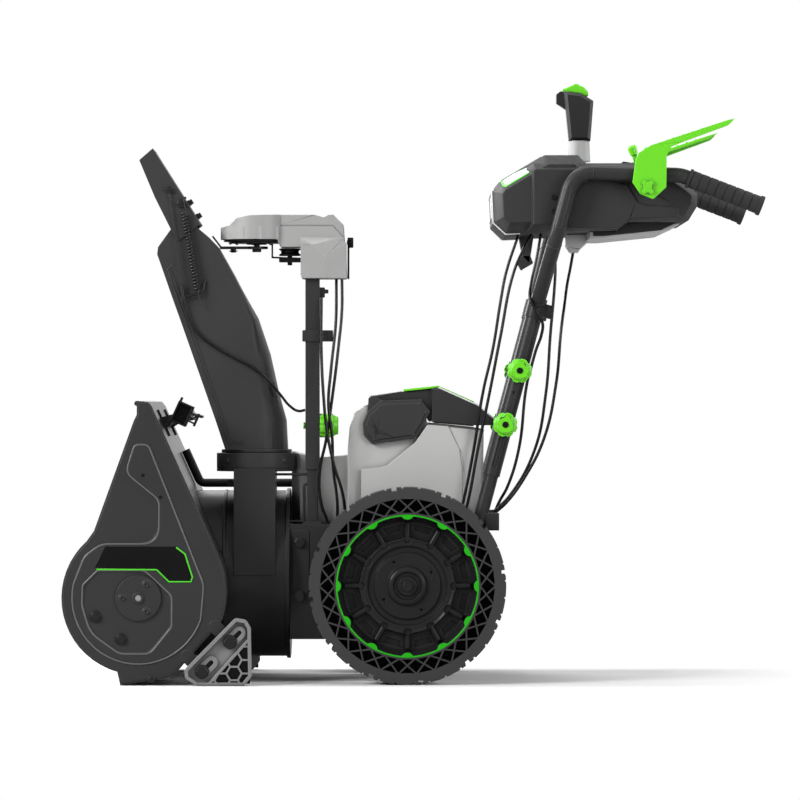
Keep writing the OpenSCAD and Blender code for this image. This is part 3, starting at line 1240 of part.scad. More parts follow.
// Control cables from the console to the chassis
cable_end = [chassis_back - 64, -half_chassis - 8, chassis_top - 5];
rear_end = [chassis_back + 9, -handle_y, chassis_top + 24.4];
control_routes = [
    [[206, -130, 872.2], [182, -140, 799], [172, -146, 748], [156, -150, 650], [137, -151, 567],
        [118, -150, 450], [98, -149, 350], cable_end],
    [[232, -136, 873.1], [214, -144, 840], [197, -150, 800], [170, -158, 670], [150, -160, 567],
        [126, -160, 450], [107, -158, 350], cable_end + [8, -2, 0]],
    [[272, -160, 874.8], [277, -182, 812], [275, -185.5, 765], [272.5, -186, 735], [268, -186, 686],
        [258, -186, 559], [237, -182, 453], [190, -168, 365], rear_end + [-2, 0, 0]],
    [[317, -4, 839.8], [311, -44, 812], [302, -112, 775], [294, -174, 728], [288, -194, 686], [278, -196, 581], [254, -195, 473],
        [216, -186, 397], [182, -176, 350], rear_end + [3, -8, 0]],
    [[250, -152, 873.8], [240, -160, 820], [228, -168, 770], [224, -178, 730], [236, -181, 694],
        [237, -178, 656], [234, -178, 581], [206, -172, 453], [184, -162, 380], [168, -152, 350], rear_end + [1, 8, 0]]];
module control_cables() color([0.07, 0.07, 0.07]) for (r = control_routes) cable(curve(r, 2), 6);

auger_housing();
side_plates();
scraper_bar();
bearing_flanges();
impeller_drum();
chute_ring();
chassis_bolts();
chassis_frame();
transaxle();
auger_motor();
auger_gearbox();
battery_hood();
hood_panels();
battery_packs();
turret_post();
turret_base();
turret_cover();
turret_cables();
braces();
lower_tubes();
impeller();
auger_shaft();
auger_flights();
tyre_left();
rim_left();
rim_ring_left();
half_shaft_left();
tyre_right();
rim_right();
rim_ring_right();
half_shaft_right();
chute();
chute_fittings();
deflector();
deflector_spring();
deflector_wire();
deflector_cable();
battery_lid();
lid_trim();
skid_left();
skid_right();
cleanout_tool();
post_knob();
handlebar();
console_body();
console_cover();
headlights();
grips();
knob_lower_left();
knob_lower_right();
knob_upper_left();
knob_upper_right();
auger_lever();
drive_lever();
joystick_gimbal();
joystick();
joystick_button();
speed_lever_left();
speed_lever_right();
control_cables();
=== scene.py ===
"""Looks of a two-stage battery snow blower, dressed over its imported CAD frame.

The CAD parts keep their shape and place. The moulded, cast and pressed ones are shown through
copies whose edges are rounded, and every piece gets a finish with its own grain, sheen and wear.
What CAD leaves plain is modelled here: the cables, the coil spring, the facets of the turret, the
lamps and keys of the console, the bare name panels, the stamped ridges and the beads of the chute.
"""

import json
import logging
import math
from dataclasses import dataclass
from enum import Enum

import bpy
from mathutils import Matrix, Vector

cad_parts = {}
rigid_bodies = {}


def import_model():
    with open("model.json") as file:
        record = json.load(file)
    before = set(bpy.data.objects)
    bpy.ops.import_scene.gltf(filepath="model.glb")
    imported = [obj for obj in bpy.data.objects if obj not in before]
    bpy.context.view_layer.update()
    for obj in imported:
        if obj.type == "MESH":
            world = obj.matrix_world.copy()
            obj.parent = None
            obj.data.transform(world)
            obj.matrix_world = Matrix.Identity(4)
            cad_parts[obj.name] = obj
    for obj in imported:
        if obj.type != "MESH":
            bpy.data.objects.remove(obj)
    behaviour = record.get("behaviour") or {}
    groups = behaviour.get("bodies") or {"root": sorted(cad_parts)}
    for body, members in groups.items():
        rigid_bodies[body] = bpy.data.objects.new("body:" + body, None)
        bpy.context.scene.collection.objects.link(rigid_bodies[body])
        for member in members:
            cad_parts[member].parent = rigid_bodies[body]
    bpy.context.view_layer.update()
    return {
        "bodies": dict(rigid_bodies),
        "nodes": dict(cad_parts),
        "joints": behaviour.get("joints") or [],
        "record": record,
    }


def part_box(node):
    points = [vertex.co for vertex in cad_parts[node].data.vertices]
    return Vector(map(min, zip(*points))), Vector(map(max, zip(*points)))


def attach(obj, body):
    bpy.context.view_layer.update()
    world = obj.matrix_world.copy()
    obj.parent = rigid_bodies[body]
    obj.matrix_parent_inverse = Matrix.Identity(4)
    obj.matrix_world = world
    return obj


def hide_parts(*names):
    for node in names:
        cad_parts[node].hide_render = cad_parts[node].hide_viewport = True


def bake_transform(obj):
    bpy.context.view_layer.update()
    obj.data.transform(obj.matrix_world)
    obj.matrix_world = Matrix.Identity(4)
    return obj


LOG = logging.getLogger("snow_blower")
Colour = tuple[float, float, float]
Point = tuple[float, float, float]
Flat = tuple[float, float]
LEFT = -1
RIGHT = 1
HAIR = 0.0002
"""A small step, in metres, that keeps one face clear of another."""
PATCH_SCALE, SHEEN_SCALE, DUST_SCALE = 7.0, 45.0, 38.0
"""How many patches of colour, sheen and dust lie in a metre."""
SHEEN_SWING = 0.02
"""How far the roughness of a finish swings to each side."""
BRUSH_STROKE = (1, 0.04, 1)
"""How brushed metal draws its noise out."""
DUST = (0.12, 0.115, 0.105)
PLAIN_WHITE = (1, 1, 1, 1)


# ---------------------------------------------------------------- finishes


class Grain(Enum):
    """How the fine relief of a surface is made."""

    ORANGE_PEEL = "orange_peel"
    PEBBLED = "pebbled"
    SMOOTH = "smooth"
    BRUSHED = "brushed"


@dataclass(frozen=True)
class Relief:
    """The grain of a surface: its kind, its cells in a metre and its depth in metres."""

    kind: Grain
    scale: float
    depth: float


class Board:
    """The node tree of a material or a world, filled in one line at a time."""

    def __init__(self, owner: bpy.types.Material | bpy.types.World, ending: str = "OutputMaterial") -> None:
        """Start an empty tree.

        Args:
            owner: The material or world that the tree belongs to.
            ending: The type of its last node, without the word ShaderNode.
        """
        owner.use_nodes = True
        self.owner = owner
        self.tree = owner.node_tree
        self.tree.nodes.clear()
        self.output = self.node(ending)

    def node(self, kind: str, **values: object) -> bpy.types.Node:
        """Add a node and set its plain properties.

        Args:
            kind: The node's type, without the word ShaderNode.
            **values: Properties of the node, by name.

        Returns:
            The new node.
        """
        made = self.tree.nodes.new("ShaderNode" + kind)
        for name, value in values.items():
            setattr(made, name, value)
        return made

    def link(self, source: bpy.types.NodeSocket, target: bpy.types.NodeSocket) -> None:
        """Join an output socket to an input socket."""
        self.tree.links.new(source, target)

    def sums(self, operation: str, first: bpy.types.NodeSocket, second: bpy.types.NodeSocket,
             clamped: bool = False) -> bpy.types.NodeSocket:
        """Work out one signal from two.

        Args:
            operation: What is done with the two, such as ADD or MULTIPLY.
            first: The first signal.
            second: The second signal.
            clamped: Whether the result is kept between 0 and 1.

        Returns:
            The socket that carries the result.
        """
        node = self.node("Math", operation=operation, use_clamp=clamped)
        self.link(first, node.inputs[0])
        self.link(second, node.inputs[1])
        return node.outputs[0]

    def mixed(self, factor: bpy.types.NodeSocket, first: bpy.types.Node, second: bpy.types.Node) -> None:
        """Mix two shaders by a signal, and send the result to the end of the tree.

        Args:
            factor: The signal, from 0 to 1.
            first: The shader at 0.
            second: The shader at 1.
        """
        mix = self.node("MixShader")
        self.link(factor, mix.inputs["Fac"])
        self.link(first.outputs[0], mix.inputs[1])
        self.link(second.outputs[0], mix.inputs[2])
        self.link(mix.outputs[0], self.output.inputs["Surface"])

    def place(self) -> bpy.types.NodeSocket:
        """The object's own coordinates."""
        return self.node("TexCoord").outputs["Object"]

    def noise(self, scale: float, detail: float = 2.0, stretch: Point = (1, 1, 1)) -> bpy.types.NodeSocket:
        """Make a noise over the object's own coordinates.

        Args:
            scale: Cells of noise in a metre.
            detail: How many finer layers are added.
            stretch: How much the noise is drawn out along each axis.

        Returns:
            The socket that carries the noise, from 0 to 1.
        """
        place = self.place()
        if stretch != (1, 1, 1):
            mapping = self.node("Mapping")
            mapping.inputs["Scale"].default_value = stretch
            self.link(place, mapping.inputs["Vector"])
            place = mapping.outputs["Vector"]
        noise = self.node("TexNoise")
        noise.inputs["Scale"].default_value = scale
        noise.inputs["Detail"].default_value = detail
        self.link(place, noise.inputs["Vector"])
        return noise.outputs["Fac"]

    def cells(self, scale: float) -> bpy.types.NodeSocket:
        """Make rounded cells over the object's own coordinates.

        Args:
            scale: Cells in a metre.

        Returns:
            The socket that carries the distance to each cell's middle.
        """
        voronoi = self.node("TexVoronoi")
        voronoi.inputs["Scale"].default_value = scale
        self.link(self.place(), voronoi.inputs["Vector"])
        return voronoi.outputs["Distance"]

    def spread(self, source: bpy.types.NodeSocket, low: float, high: float,
               start: float = 0.3, end: float = 0.7) -> bpy.types.NodeSocket:
        """Map a signal onto a range.

        Args:
            source: The signal.
            low: What its start becomes.
            high: What its end becomes.
            start: The signal's lower end.
            end: The signal's upper end.

        Returns:
            The socket that carries the result.
        """
        ranged = self.node("MapRange")
        for name, value in (("From Min", start), ("From Max", end), ("To Min", low), ("To Max", high)):
            ranged.inputs[name].default_value = value
        self.link(source, ranged.inputs["Value"])
        return ranged.outputs["Result"]

    def blend(self, factor: bpy.types.NodeSocket, first: Colour | bpy.types.NodeSocket,
              second: Colour | bpy.types.NodeSocket) -> bpy.types.NodeSocket:
        """Mix two colours by a signal.

        Args:
            factor: The signal, from 0 to 1.
            first: The colour at 0, or the socket that carries it.
            second: The colour at 1, or the socket that carries it.

        Returns:
            The socket that carries the mixed colour.
        """
        mix = self.node("Mix", data_type="RGBA")
        self.link(factor, mix.inputs["Factor"])
        for name, colour in (("A", first), ("B", second)):
            if isinstance(colour, tuple):
                mix.inputs[name].default_value = (*colour, 1)
            else:
                self.link(colour, mix.inputs[name])
        return mix.outputs["Result"]


@dataclass(frozen=True)
class Finish:
    """A surface with its colour, sheen, relief and wear.

    A finish may turn into a second colour above a height, which is how a handle that is moulded
    in two materials is drawn. Its colour is also painted darker in hollows, as painted shade by its
    share of shade, and lighter along its edges, as a painted highlight.
    """

    name: str
    colour: Colour
    roughness: float
    relief: Relief
    metal: float = 0.0
    wear: float = 0.25
    dust: float = 0.0
    coat: float = 0.0
    # How much painted shade darkens the colour in hollows, and how far it reaches, in metres.
    shade: float = 0.6
    shade_reach: float = 0.03
    upper: Colour | None = None
    split_height: float = 0.0
    gloss: float = 0.5
    # How much painted highlight lightens the colour along edges, and how far it reaches, in metres.
    edge: float = 0.0
    highlight_reach: float = 0.0018

    def material(self) -> bpy.types.Material:
        """Build the finish once, and hand out the same material afterwards.

        Returns:
            The material.
        """
        return bpy.data.materials.get(self.name) or self._build()

    @staticmethod
    def _tone(colour: Colour, share: float) -> Colour:
        """The colour made lighter or darker by a share."""
        return tuple(min(1.0, c * (1 + share)) for c in colour)

    def _relief(self, board: Board) -> bpy.types.NodeSocket:
        """The height signal of the grain."""
        if self.relief.kind is Grain.PEBBLED:
            return board.cells(self.relief.scale)
        if self.relief.kind is Grain.BRUSHED:
            return board.noise(self.relief.scale, 3.0, BRUSH_STROKE)
        return board.noise(self.relief.scale, 2.0)

    def _painted_hollow_shade(self, board: Board) -> bpy.types.NodeSocket:
        """The painted shade: a signal, from ambient occlusion, that falls from 1 in the open towards 0 deep
        in hollows.
        """
        hollow_shade = board.node("AmbientOcclusion", samples=6)
        hollow_shade.inputs["Distance"].default_value = self.shade_reach
        return board.spread(hollow_shade.outputs["AO"], 1.0 - self.shade, 1.0, 0.2, 0.85)

    def _painted_edge_highlight(self, board: Board) -> bpy.types.NodeSocket:
        """The painted highlight: a signal that rises to the finish's share of edge where two faces meet."""
        rounded = board.node("Bevel", samples=4)
        rounded.inputs["Radius"].default_value = self.highlight_reach
        turn = board.node("VectorMath", operation="DOT_PRODUCT")
        board.link(rounded.outputs["Normal"], turn.inputs[0])
        board.link(board.node("NewGeometry").outputs["True Normal"], turn.inputs[1])
        return board.spread(turn.outputs["Value"], 1.0, 0.0, 0.68, 0.94)

    def _colour(self, board: Board, hollow_shade: bpy.types.NodeSocket) -> bpy.types.NodeSocket:
        """The colour with its slow change of tone, its second material, its dust, its painted highlight along
        edges and its painted shade in hollows.

        Args:
            board: The node tree.
            hollow_shade: The signal of the painted shade in hollows.

        Returns:
            The socket that carries the colour.
        """
        patches = board.spread(board.noise(PATCH_SCALE, 4.0), 0.0, 1.0)
        colour = board.blend(patches, self._tone(self.colour, -0.35 * self.wear),
                             self._tone(self.colour, 0.45 * self.wear))
        if self.upper:
            axes = board.node("SeparateXYZ")
            board.link(board.place(), axes.inputs[0])
            above = board.spread(axes.outputs["Z"], 0.0, 1.0, self.split_height, self.split_height + HAIR)
            colour = board.blend(above, colour, self.upper)
        if self.dust:
            dusting = board.spread(board.noise(DUST_SCALE, 6.0), 0.0, self.dust, 0.45, 0.75)
            colour = board.blend(dusting, colour, DUST)
        # Painted highlight: the colour is made lighter along edges.
        if self.edge:
            highlight_colour = tuple(min(1.0, c + self.edge) for c in self.colour)
            colour = board.blend(self._painted_edge_highlight(board), colour, highlight_colour)
        # Painted shade: the colour is multiplied darker in hollows.
        painted_shade = board.node("Mix", data_type="RGBA", blend_type="MULTIPLY")
        painted_shade.inputs["Factor"].default_value = 1.0
        board.link(colour, painted_shade.inputs["A"])
        board.link(hollow_shade, painted_shade.inputs["B"])
        return painted_shade.outputs["Result"]

    def _build(self) -> bpy.types.Material:
        """Build the node tree of the finish."""
        board = Board(bpy.data.materials.new(self.name))
        shader = board.node("BsdfPrincipled")
        board.link(shader.outputs["BSDF"], board.output.inputs["Surface"])
        hollow_shade = self._painted_hollow_shade(board)
        board.link(self._colour(board, hollow_shade), shader.inputs["Base Color"])
        shader.inputs["Specular IOR Level"].default_value = self.gloss
        sheen = board.spread(board.noise(SHEEN_SCALE, 3.0), self.roughness - SHEEN_SWING,
                             self.roughness + SHEEN_SWING)
        board.link(sheen, shader.inputs["Roughness"])
        shader.inputs["Metallic"].default_value = self.metal
        shader.inputs["Coat Weight"].default_value = self.coat
        shader.inputs["Coat Roughness"].default_value = 0.15
        bump = board.node("Bump")
        bump.inputs["Strength"].default_value = 0.6
        bump.inputs["Distance"].default_value = self.relief.depth
        board.link(self._relief(board), bump.inputs["Height"])
        board.link(bump.outputs["Normal"], shader.inputs["Normal"])
        return board.owner


@dataclass(frozen=True)
class Lamp:
    """A surface that gives light of its own, such as a lamp or a strip of diodes."""

    name: str
    colour: Colour
    strength: float
    pitch: float

    def material(self) -> bpy.types.Material:
        """Build the lamp's material once, and hand out the same one afterwards.

        Returns:
            The material.
        """
        return bpy.data.materials.get(self.name) or self._build()

    def _build(self) -> bpy.types.Material:
        """Build the node tree of the lamp."""
        board = Board(bpy.data.materials.new(self.name))
        shader = board.node("BsdfPrincipled")
        cells = board.spread(board.cells(self.pitch), 1.0, 0.55, 0.2, 0.6)
        board.link(board.blend(cells, (0.0, 0.0, 0.0), self.colour), shader.inputs["Emission Color"])
        shader.inputs["Base Color"].default_value = (*self.colour, 1)
        shader.inputs["Roughness"].default_value = 0.15
        shader.inputs["Emission Strength"].default_value = self.strength
        board.link(shader.outputs["BSDF"], board.output.inputs["Surface"])
        return board.owner


COAT_PEEL = Relief(Grain.ORANGE_PEEL, 420.0, 0.00006)
SKID_PEEL = Relief(Grain.ORANGE_PEEL, 480.0, 0.0001)
RIM_PEEL = Relief(Grain.ORANGE_PEEL, 600.0, 0.00004)
CAST_PEEL = Relief(Grain.ORANGE_PEEL, 260.0, 0.0003)
MOULD_GRAIN = Relief(Grain.PEBBLED, 1500.0, 0.00006)
FINE_GRAIN = Relief(Grain.PEBBLED, 1500.0, 0.00005)
GREEN_GRAIN = Relief(Grain.PEBBLED, 1700.0, 0.00005)
TYRE_GRAIN = Relief(Grain.PEBBLED, 800.0, 0.00010)
GRIP_GRAIN = Relief(Grain.PEBBLED, 1800.0, 0.00012)
STICK_GRAIN = Relief(Grain.PEBBLED, 1800.0, 0.00008)
GLOSS_SKIN = Relief(Grain.SMOOTH, 700.0, 0.00002)
THIN_SKIN = Relief(Grain.SMOOTH, 900.0, 0.00002)
PLAIN_SKIN = Relief(Grain.SMOOTH, 900.0, 0.00003)
LENS_SKIN = Relief(Grain.SMOOTH, 300.0, 0.00003)
BRUSHED_SKIN = Relief(Grain.BRUSHED, 700.0, 0.00004)

BLACK_COAT = Finish("black_coat", (0.034, 0.034, 0.0345), 0.30, COAT_PEEL, wear=0.2, gloss=0.14, edge=0.08)
PRESSED_COAT = Finish("pressed_coat", (0.032, 0.032, 0.0325), 0.34, COAT_PEEL, wear=0.15, gloss=0.16,
                      shade_reach=0.012, edge=0.11)
# The ridges are painted lighter than the plate, as a painted highlight along them.
RIDGE_HIGHLIGHT = Finish("ridge_highlight", (0.10, 0.10, 0.101), 0.30, COAT_PEEL, wear=0.15, shade=0.9,
                    shade_reach=0.004)
GREY_COAT = Finish("grey_coat", (0.21, 0.21, 0.212), 0.36, SKID_PEEL, wear=0.2, shade=1.0, shade_reach=0.012,
                   edge=0.30)
BLACK_MOULDED = Finish("black_moulded", (0.040, 0.040, 0.0405), 0.42, MOULD_GRAIN, wear=0.2, gloss=0.14,
                       edge=0.06)
SATIN_MOULDED = Finish("satin_moulded", (0.038, 0.038, 0.0385), 0.50, MOULD_GRAIN, wear=0.15, gloss=0.12,
                       edge=0.05)
DEEP_MOULDED = Finish("deep_moulded", (0.004, 0.004, 0.0045), 0.34, MOULD_GRAIN, gloss=0.14, edge=0.05)
BLACK_GLOSS = Finish("black_gloss", (0.0035, 0.0035, 0.004), 0.16, GLOSS_SKIN, wear=0.2, gloss=0.18,
                     edge=0.12)
LID_GLOSS = Finish("lid_gloss", (0.030, 0.030, 0.0305), 0.22, GLOSS_SKIN, wear=0.15, gloss=0.25, edge=0.12)
GREY_MOULDED = Finish("grey_moulded", (0.35, 0.35, 0.347), 0.42, FINE_GRAIN, wear=0.08, shade=0.8, edge=0.22)
HOOD_MOULDED = Finish("hood_moulded", (0.50, 0.50, 0.495), 0.42, FINE_GRAIN, wear=0.08, shade=0.8, edge=0.20)
PALE_MOULDED = Finish("pale_moulded", (0.60, 0.60, 0.60), 0.40, MOULD_GRAIN, wear=0.10, edge=0.2)
GREEN_MOULDED = Finish("green_moulded", (0.15, 0.72, 0.008), 0.30, GREEN_GRAIN, wear=0.10, shade=0.9,
                       shade_reach=0.012, edge=0.15)
LINE_GREEN = Finish("line_green", (0.07, 0.60, 0.012), 0.35, THIN_SKIN, wear=0.05, shade=0.0)
# Pale strips laid along dark edges of the lid and the console, as painted highlights.
WHITE_HIGHLIGHT = Finish("white_highlight", (0.78, 0.78, 0.78), 0.30, THIN_SKIN, wear=0.05, shade=0.3)
RING_GREEN = Finish("ring_green", (0.010, 0.42, 0.0), 0.42, PLAIN_SKIN, wear=0.08, shade=0.2, gloss=0.3)
TYRE_RUBBER = Finish("tyre_rubber", (0.0025, 0.0025, 0.0025), 0.42, TYRE_GRAIN, wear=0.3, shade=1.0,
                     shade_reach=0.02, gloss=0.04)
RIM_BLACK = Finish("rim_black", (0.016, 0.016, 0.0162), 0.26, RIM_PEEL, wear=0.15, shade=1.0,
                   shade_reach=0.02, gloss=0.12, edge=0.10)
GRIP_RUBBER = Finish("grip_rubber", (0.005, 0.005, 0.0055), 0.42, GRIP_GRAIN, wear=0.3, gloss=0.16, edge=0.02)
STICK_RUBBER = Finish("stick_rubber", (0.46, 0.46, 0.46), 0.42, STICK_GRAIN, wear=0.15, shade=0.5,
                      shade_reach=0.02, upper=(0.012, 0.012, 0.0125), split_height=1.0622, gloss=0.28)
SHEATH = Finish("sheath", (0.004, 0.004, 0.0045), 0.24, PLAIN_SKIN, wear=0.2, gloss=0.25)
DARK_WIRE = Finish("dark_wire", (0.012, 0.012, 0.012), 0.30, THIN_SKIN, wear=0.2, shade=1.0,
                   shade_reach=0.004, gloss=0.35)
ZINC = Finish("zinc", (0.40, 0.40, 0.41), 0.32, BRUSHED_SKIN, metal=1.0, wear=0.3, shade_reach=0.02)
BLACK_OXIDE = Finish("black_oxide", (0.006, 0.006, 0.0065), 0.30, PLAIN_SKIN, wear=0.3, gloss=0.30, shade=0.9,
                     shade_reach=0.01, edge=0.08)
CAST_METAL = Finish("cast_metal", (0.28, 0.28, 0.29), 0.50, CAST_PEEL, metal=0.8, wear=0.3, dust=0.03)
LAMP_LENS = Finish("lamp_lens", (0.40, 0.42, 0.44), 0.12, LENS_SKIN, wear=0.05, coat=0.6)
DIODES = Lamp("diodes", (0.93, 0.96, 1.0), 0.35, 110.0)


# ---------------------------------------------------------------- the bench


def mm(*values: float) -> tuple[float, ...]:
    """Lengths in millimetres as metres."""
    return tuple(value / 1000 for value in values)


def points(rows: list[list[float]]) -> list[tuple[float, ...]]:
    """A list of points in millimetres as points in metres."""
    return [mm(*row) for row in rows]


def filleted(corners: list[tuple[float, float, float]], steps: int = 6) -> list[Flat]:
    """Round the corners of a closed outline.

    Args:
        corners: Each corner and the radius of its round, in one unit.
        steps: How many pieces each round is drawn in.

    Returns:
        The points of the rounded outline.
    """
    line = []
    for number, (a, b, radius) in enumerate(corners):
        spot = Vector((a, b))
        before = (Vector(corners[number - 1][:2]) - spot)
        after = (Vector(corners[(number + 1) % len(corners)][:2]) - spot)
        turn = before.angle(after) / 2
        reach = min(radius / math.tan(turn), 0.48 * before.length, 0.48 * after.length)
        start, end = spot + before.normalized() * reach, spot + after.normalized() * reach
        for step in range(steps + 1):
            share = step / steps
            line.append(tuple(start.lerp(spot, share).lerp(spot.lerp(end, share), share)))
    return line


@dataclass(frozen=True)
class Seat:
    """A flat place on the machine, with its origin and the directions of its two axes."""

    origin: Point
    across: Point = (1.0, 0.0, 0.0)
    up: Point = (0.0, 0.0, 1.0)

    def matrix(self, lift: float = 0.0) -> Matrix:
        """The seat's place and turn.

        Args:
            lift: How far out of the seat the origin moves.

        Returns:
            The matrix that carries a flat piece onto the seat.
        """
        along = Vector(self.across).normalized()
        out = along.cross(Vector(self.up)).normalized()
        turn = Matrix((along, out.cross(along), out)).transposed().to_4x4()
        return Matrix.Translation(Vector(self.origin) + out * lift) @ turn


class Bench:
    """Hand tools shared by the sub-assemblies, for modelling from primitives."""

    nodes: dict[str, bpy.types.Object] = {}
    bodies: dict[str, str] = {}

    @staticmethod
    def open(frame: dict) -> None:
        """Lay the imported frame's nodes out on the bench.
        """
        Bench.nodes = frame["nodes"]
        for body, members in frame["record"]["behaviour"]["bodies"].items():
            Bench.bodies.update({node: body for node in members})

    @staticmethod
    def clear() -> None:
        """Leave object mode with nothing selected."""
        if bpy.context.mode != "OBJECT":
            bpy.ops.object.mode_set(mode="OBJECT")
        bpy.ops.object.select_all(action="DESELECT")

    @staticmethod
    def take(piece: bpy.types.Object) -> bpy.types.Object:
        """Select one piece alone and make it the active one.

        Args:
            piece: The piece.

        Returns:
            The same piece.
        """
        Bench.clear()
        piece.select_set(True)
        bpy.context.view_layer.objects.active = piece
        return piece

    @staticmethod
    def named(name: str) -> bpy.types.Object:
        """Name the active object and its mesh.

        Args:
            name: The piece's name.

        Returns:
            The active object.
        """
        piece = bpy.context.object
        piece.name = name
        piece.data.name = name
        return piece

    @staticmethod
    def settle(piece: bpy.types.Object) -> bpy.types.Object:
        """Put the piece's place, turn and size into its mesh.

        Args:
            piece: The piece, wherever it stands.

        Returns:
            The same piece, with its object at the origin.
        """
        Bench.take(piece)
        bpy.ops.object.transform_apply(location=True, rotation=True, scale=True)
        return piece

    @staticmethod
    def apply(piece: bpy.types.Object) -> None:
        """Apply every modifier of the piece, in order."""
        Bench.take(piece)
        for modifier in list(piece.modifiers):
            bpy.ops.object.modifier_apply(modifier=modifier.name)

    @staticmethod
    def smooth(piece: bpy.types.Object, angle: float) -> None:
        """Shade the piece smooth except across edges sharper than the angle, in degrees."""
        Bench.take(piece)
        bpy.ops.object.shade_smooth_by_angle(angle=math.radians(angle))

    @staticmethod
    def soften(piece: bpy.types.Object, width: float, segments: int = 2, sharp: float = 30.0,
               shading: float = 42.0) -> None:
        """Round the piece's sharp edges and shade it smooth.

        Args:
            piece: The piece.
            width: The width of the rounding, in metres.
            segments: How many strips of faces the rounding has.
            sharp: The smallest angle between two faces that is rounded, in degrees.
            shading: The smallest angle that still shows as an edge afterwards.
        """
        bevel = piece.modifiers.new("rounding", "BEVEL")
        bevel.width = width
        bevel.segments = segments
        bevel.limit_method = "ANGLE"
        bevel.angle_limit = math.radians(sharp)
        bevel.use_clamp_overlap = False
        Bench.apply(piece)
        Bench.even(piece, shading)

    @staticmethod
    def even(piece: bpy.types.Object, shading: float = 42.0) -> None:
        """Shade the piece so that its large faces stay flat and its roundings turn evenly.

        Args:
            piece: The piece.
            shading: The smallest angle that still shows as an edge, in degrees.
        """
        Bench.smooth(piece, shading)
        even = piece.modifiers.new("even_shading", "WEIGHTED_NORMAL")
        even.mode = "FACE_AREA"
        even.weight = 100
        even.keep_sharp = True
        Bench.apply(piece)

    @staticmethod
    def join(pieces: list[bpy.types.Object], name: str) -> bpy.types.Object:
        """Join pieces into one.

        Args:
            pieces: The pieces, of which the first one stays.
            name: The joined piece's name.

        Returns:
            The joined piece.
        """
        Bench.take(pieces[0])
        for piece in pieces:
            piece.select_set(True)
        bpy.ops.object.join()
        return Bench.named(name)

    @staticmethod
    def copied(node: str, name: str) -> bpy.types.Object:
        """Copy a CAD node and merge its loose triangles into whole faces.

        Args:
            node: The CAD node.
            name: The copy's name.

        Returns:
            The copy, which rides on nothing yet.
        """
        Bench.take(Bench.nodes[node])
        bpy.ops.object.duplicate()
        copy = Bench.named(name)
        copy.parent = None
        for label in [key for key in copy.keys() if key.startswith("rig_")]:
            del copy[label]
        copy.matrix_world.identity()
        bpy.ops.object.mode_set(mode="EDIT")
        bpy.ops.mesh.select_all(action="SELECT")
        bpy.ops.mesh.remove_doubles(threshold=0.000004)
        bpy.ops.object.mode_set(mode="OBJECT")
        return copy

    @staticmethod
    def curve(name: str, lines: list[list[Point]], rounded: bool, closed: bool = False) -> bpy.types.Object:
        """Lay curves through points.

        Args:
            name: The piece's name.
            lines: The points of each curve.
            rounded: Whether the curves bend smoothly through their points.
            closed: Whether each curve ends where it starts.

        Returns:
            The curve object, without a thickness yet.
        """
        Bench.clear()
        bpy.ops.curve.primitive_bezier_circle_add()
        piece = Bench.named(name)
        piece.data.splines.clear()
        for line in lines:
            spline = piece.data.splines.new("BEZIER" if rounded else "POLY")
            store = spline.bezier_points if rounded else spline.points
            store.add(len(line) - 1)
            for knot, place in zip(store, line):
                knot.co = place if rounded else (*place, 1)
                if rounded:
                    knot.handle_left_type = knot.handle_right_type = "AUTO"
            spline.use_cyclic_u = closed
            spline.resolution_u = 10
        return piece

    @staticmethod
    def wire(name: str, lines: list[list[Point]], width: float, rounded: bool = True,
             closed: bool = False) -> bpy.types.Object:
        """Make round wires that follow points.

        Args:
            name: The piece's name.
            lines: The points of each wire.
            width: The wires' diameter.
            rounded: Whether the wires bend smoothly through their points.
            closed: Whether each wire ends where it starts.

        Returns:
            One mesh of all the wires, with closed ends.
        """
        piece = Bench.curve(name, lines, rounded, closed)
        piece.data.dimensions = "3D"
        piece.data.bevel_depth = width / 2
        piece.data.bevel_resolution = 3
        piece.data.use_fill_caps = True
        Bench.take(piece)
        bpy.ops.object.convert(target="MESH")
        Bench.smooth(piece, 50.0)
        return piece

    @staticmethod
    def outwards() -> None:
        """In edit mode, turn every face of the active piece outwards, and return to object mode."""
        bpy.ops.mesh.select_all(action="SELECT")
        bpy.ops.mesh.normals_make_consistent(inside=False)
        bpy.ops.object.mode_set(mode="OBJECT")

    @staticmethod
    def pressed(piece: bpy.types.Object, seat: Seat, lift: float, swell: float) -> bpy.types.Object:
        """Flatten a piece drawn at the origin and lay it on its seat.

        Args:
            piece: The piece.
            seat: Where it lies.
            lift: How far out of the seat it is moved.
            swell: The share of its height that is kept.

        Returns:
            The same piece, with its place in its mesh.
        """
        piece.scale = (1, 1, swell)
        Bench.settle(piece)
        piece.matrix_world = seat.matrix(lift)
        return Bench.settle(piece)

    @staticmethod
    def stacked(piece: bpy.types.Object, steps: tuple[Flat, ...]) -> None:
        """Raise the top of the active piece in steps.

        Args:
            piece: The piece, standing upright.
            steps: How much each step is scaled from the one below it, and how far it rises.
        """
        for face in piece.data.polygons:
            face.select = face.normal.z > 0.9
        bpy.ops.object.mode_set(mode="EDIT")
        bpy.ops.mesh.select_mode(type="FACE")
        for shrink, rise in steps:
            bpy.ops.mesh.extrude_region_move(TRANSFORM_OT_translate={"value": (0, 0, rise)})
            bpy.ops.transform.resize(value=(shrink, shrink, 1))
        bpy.ops.object.mode_set(mode="OBJECT")

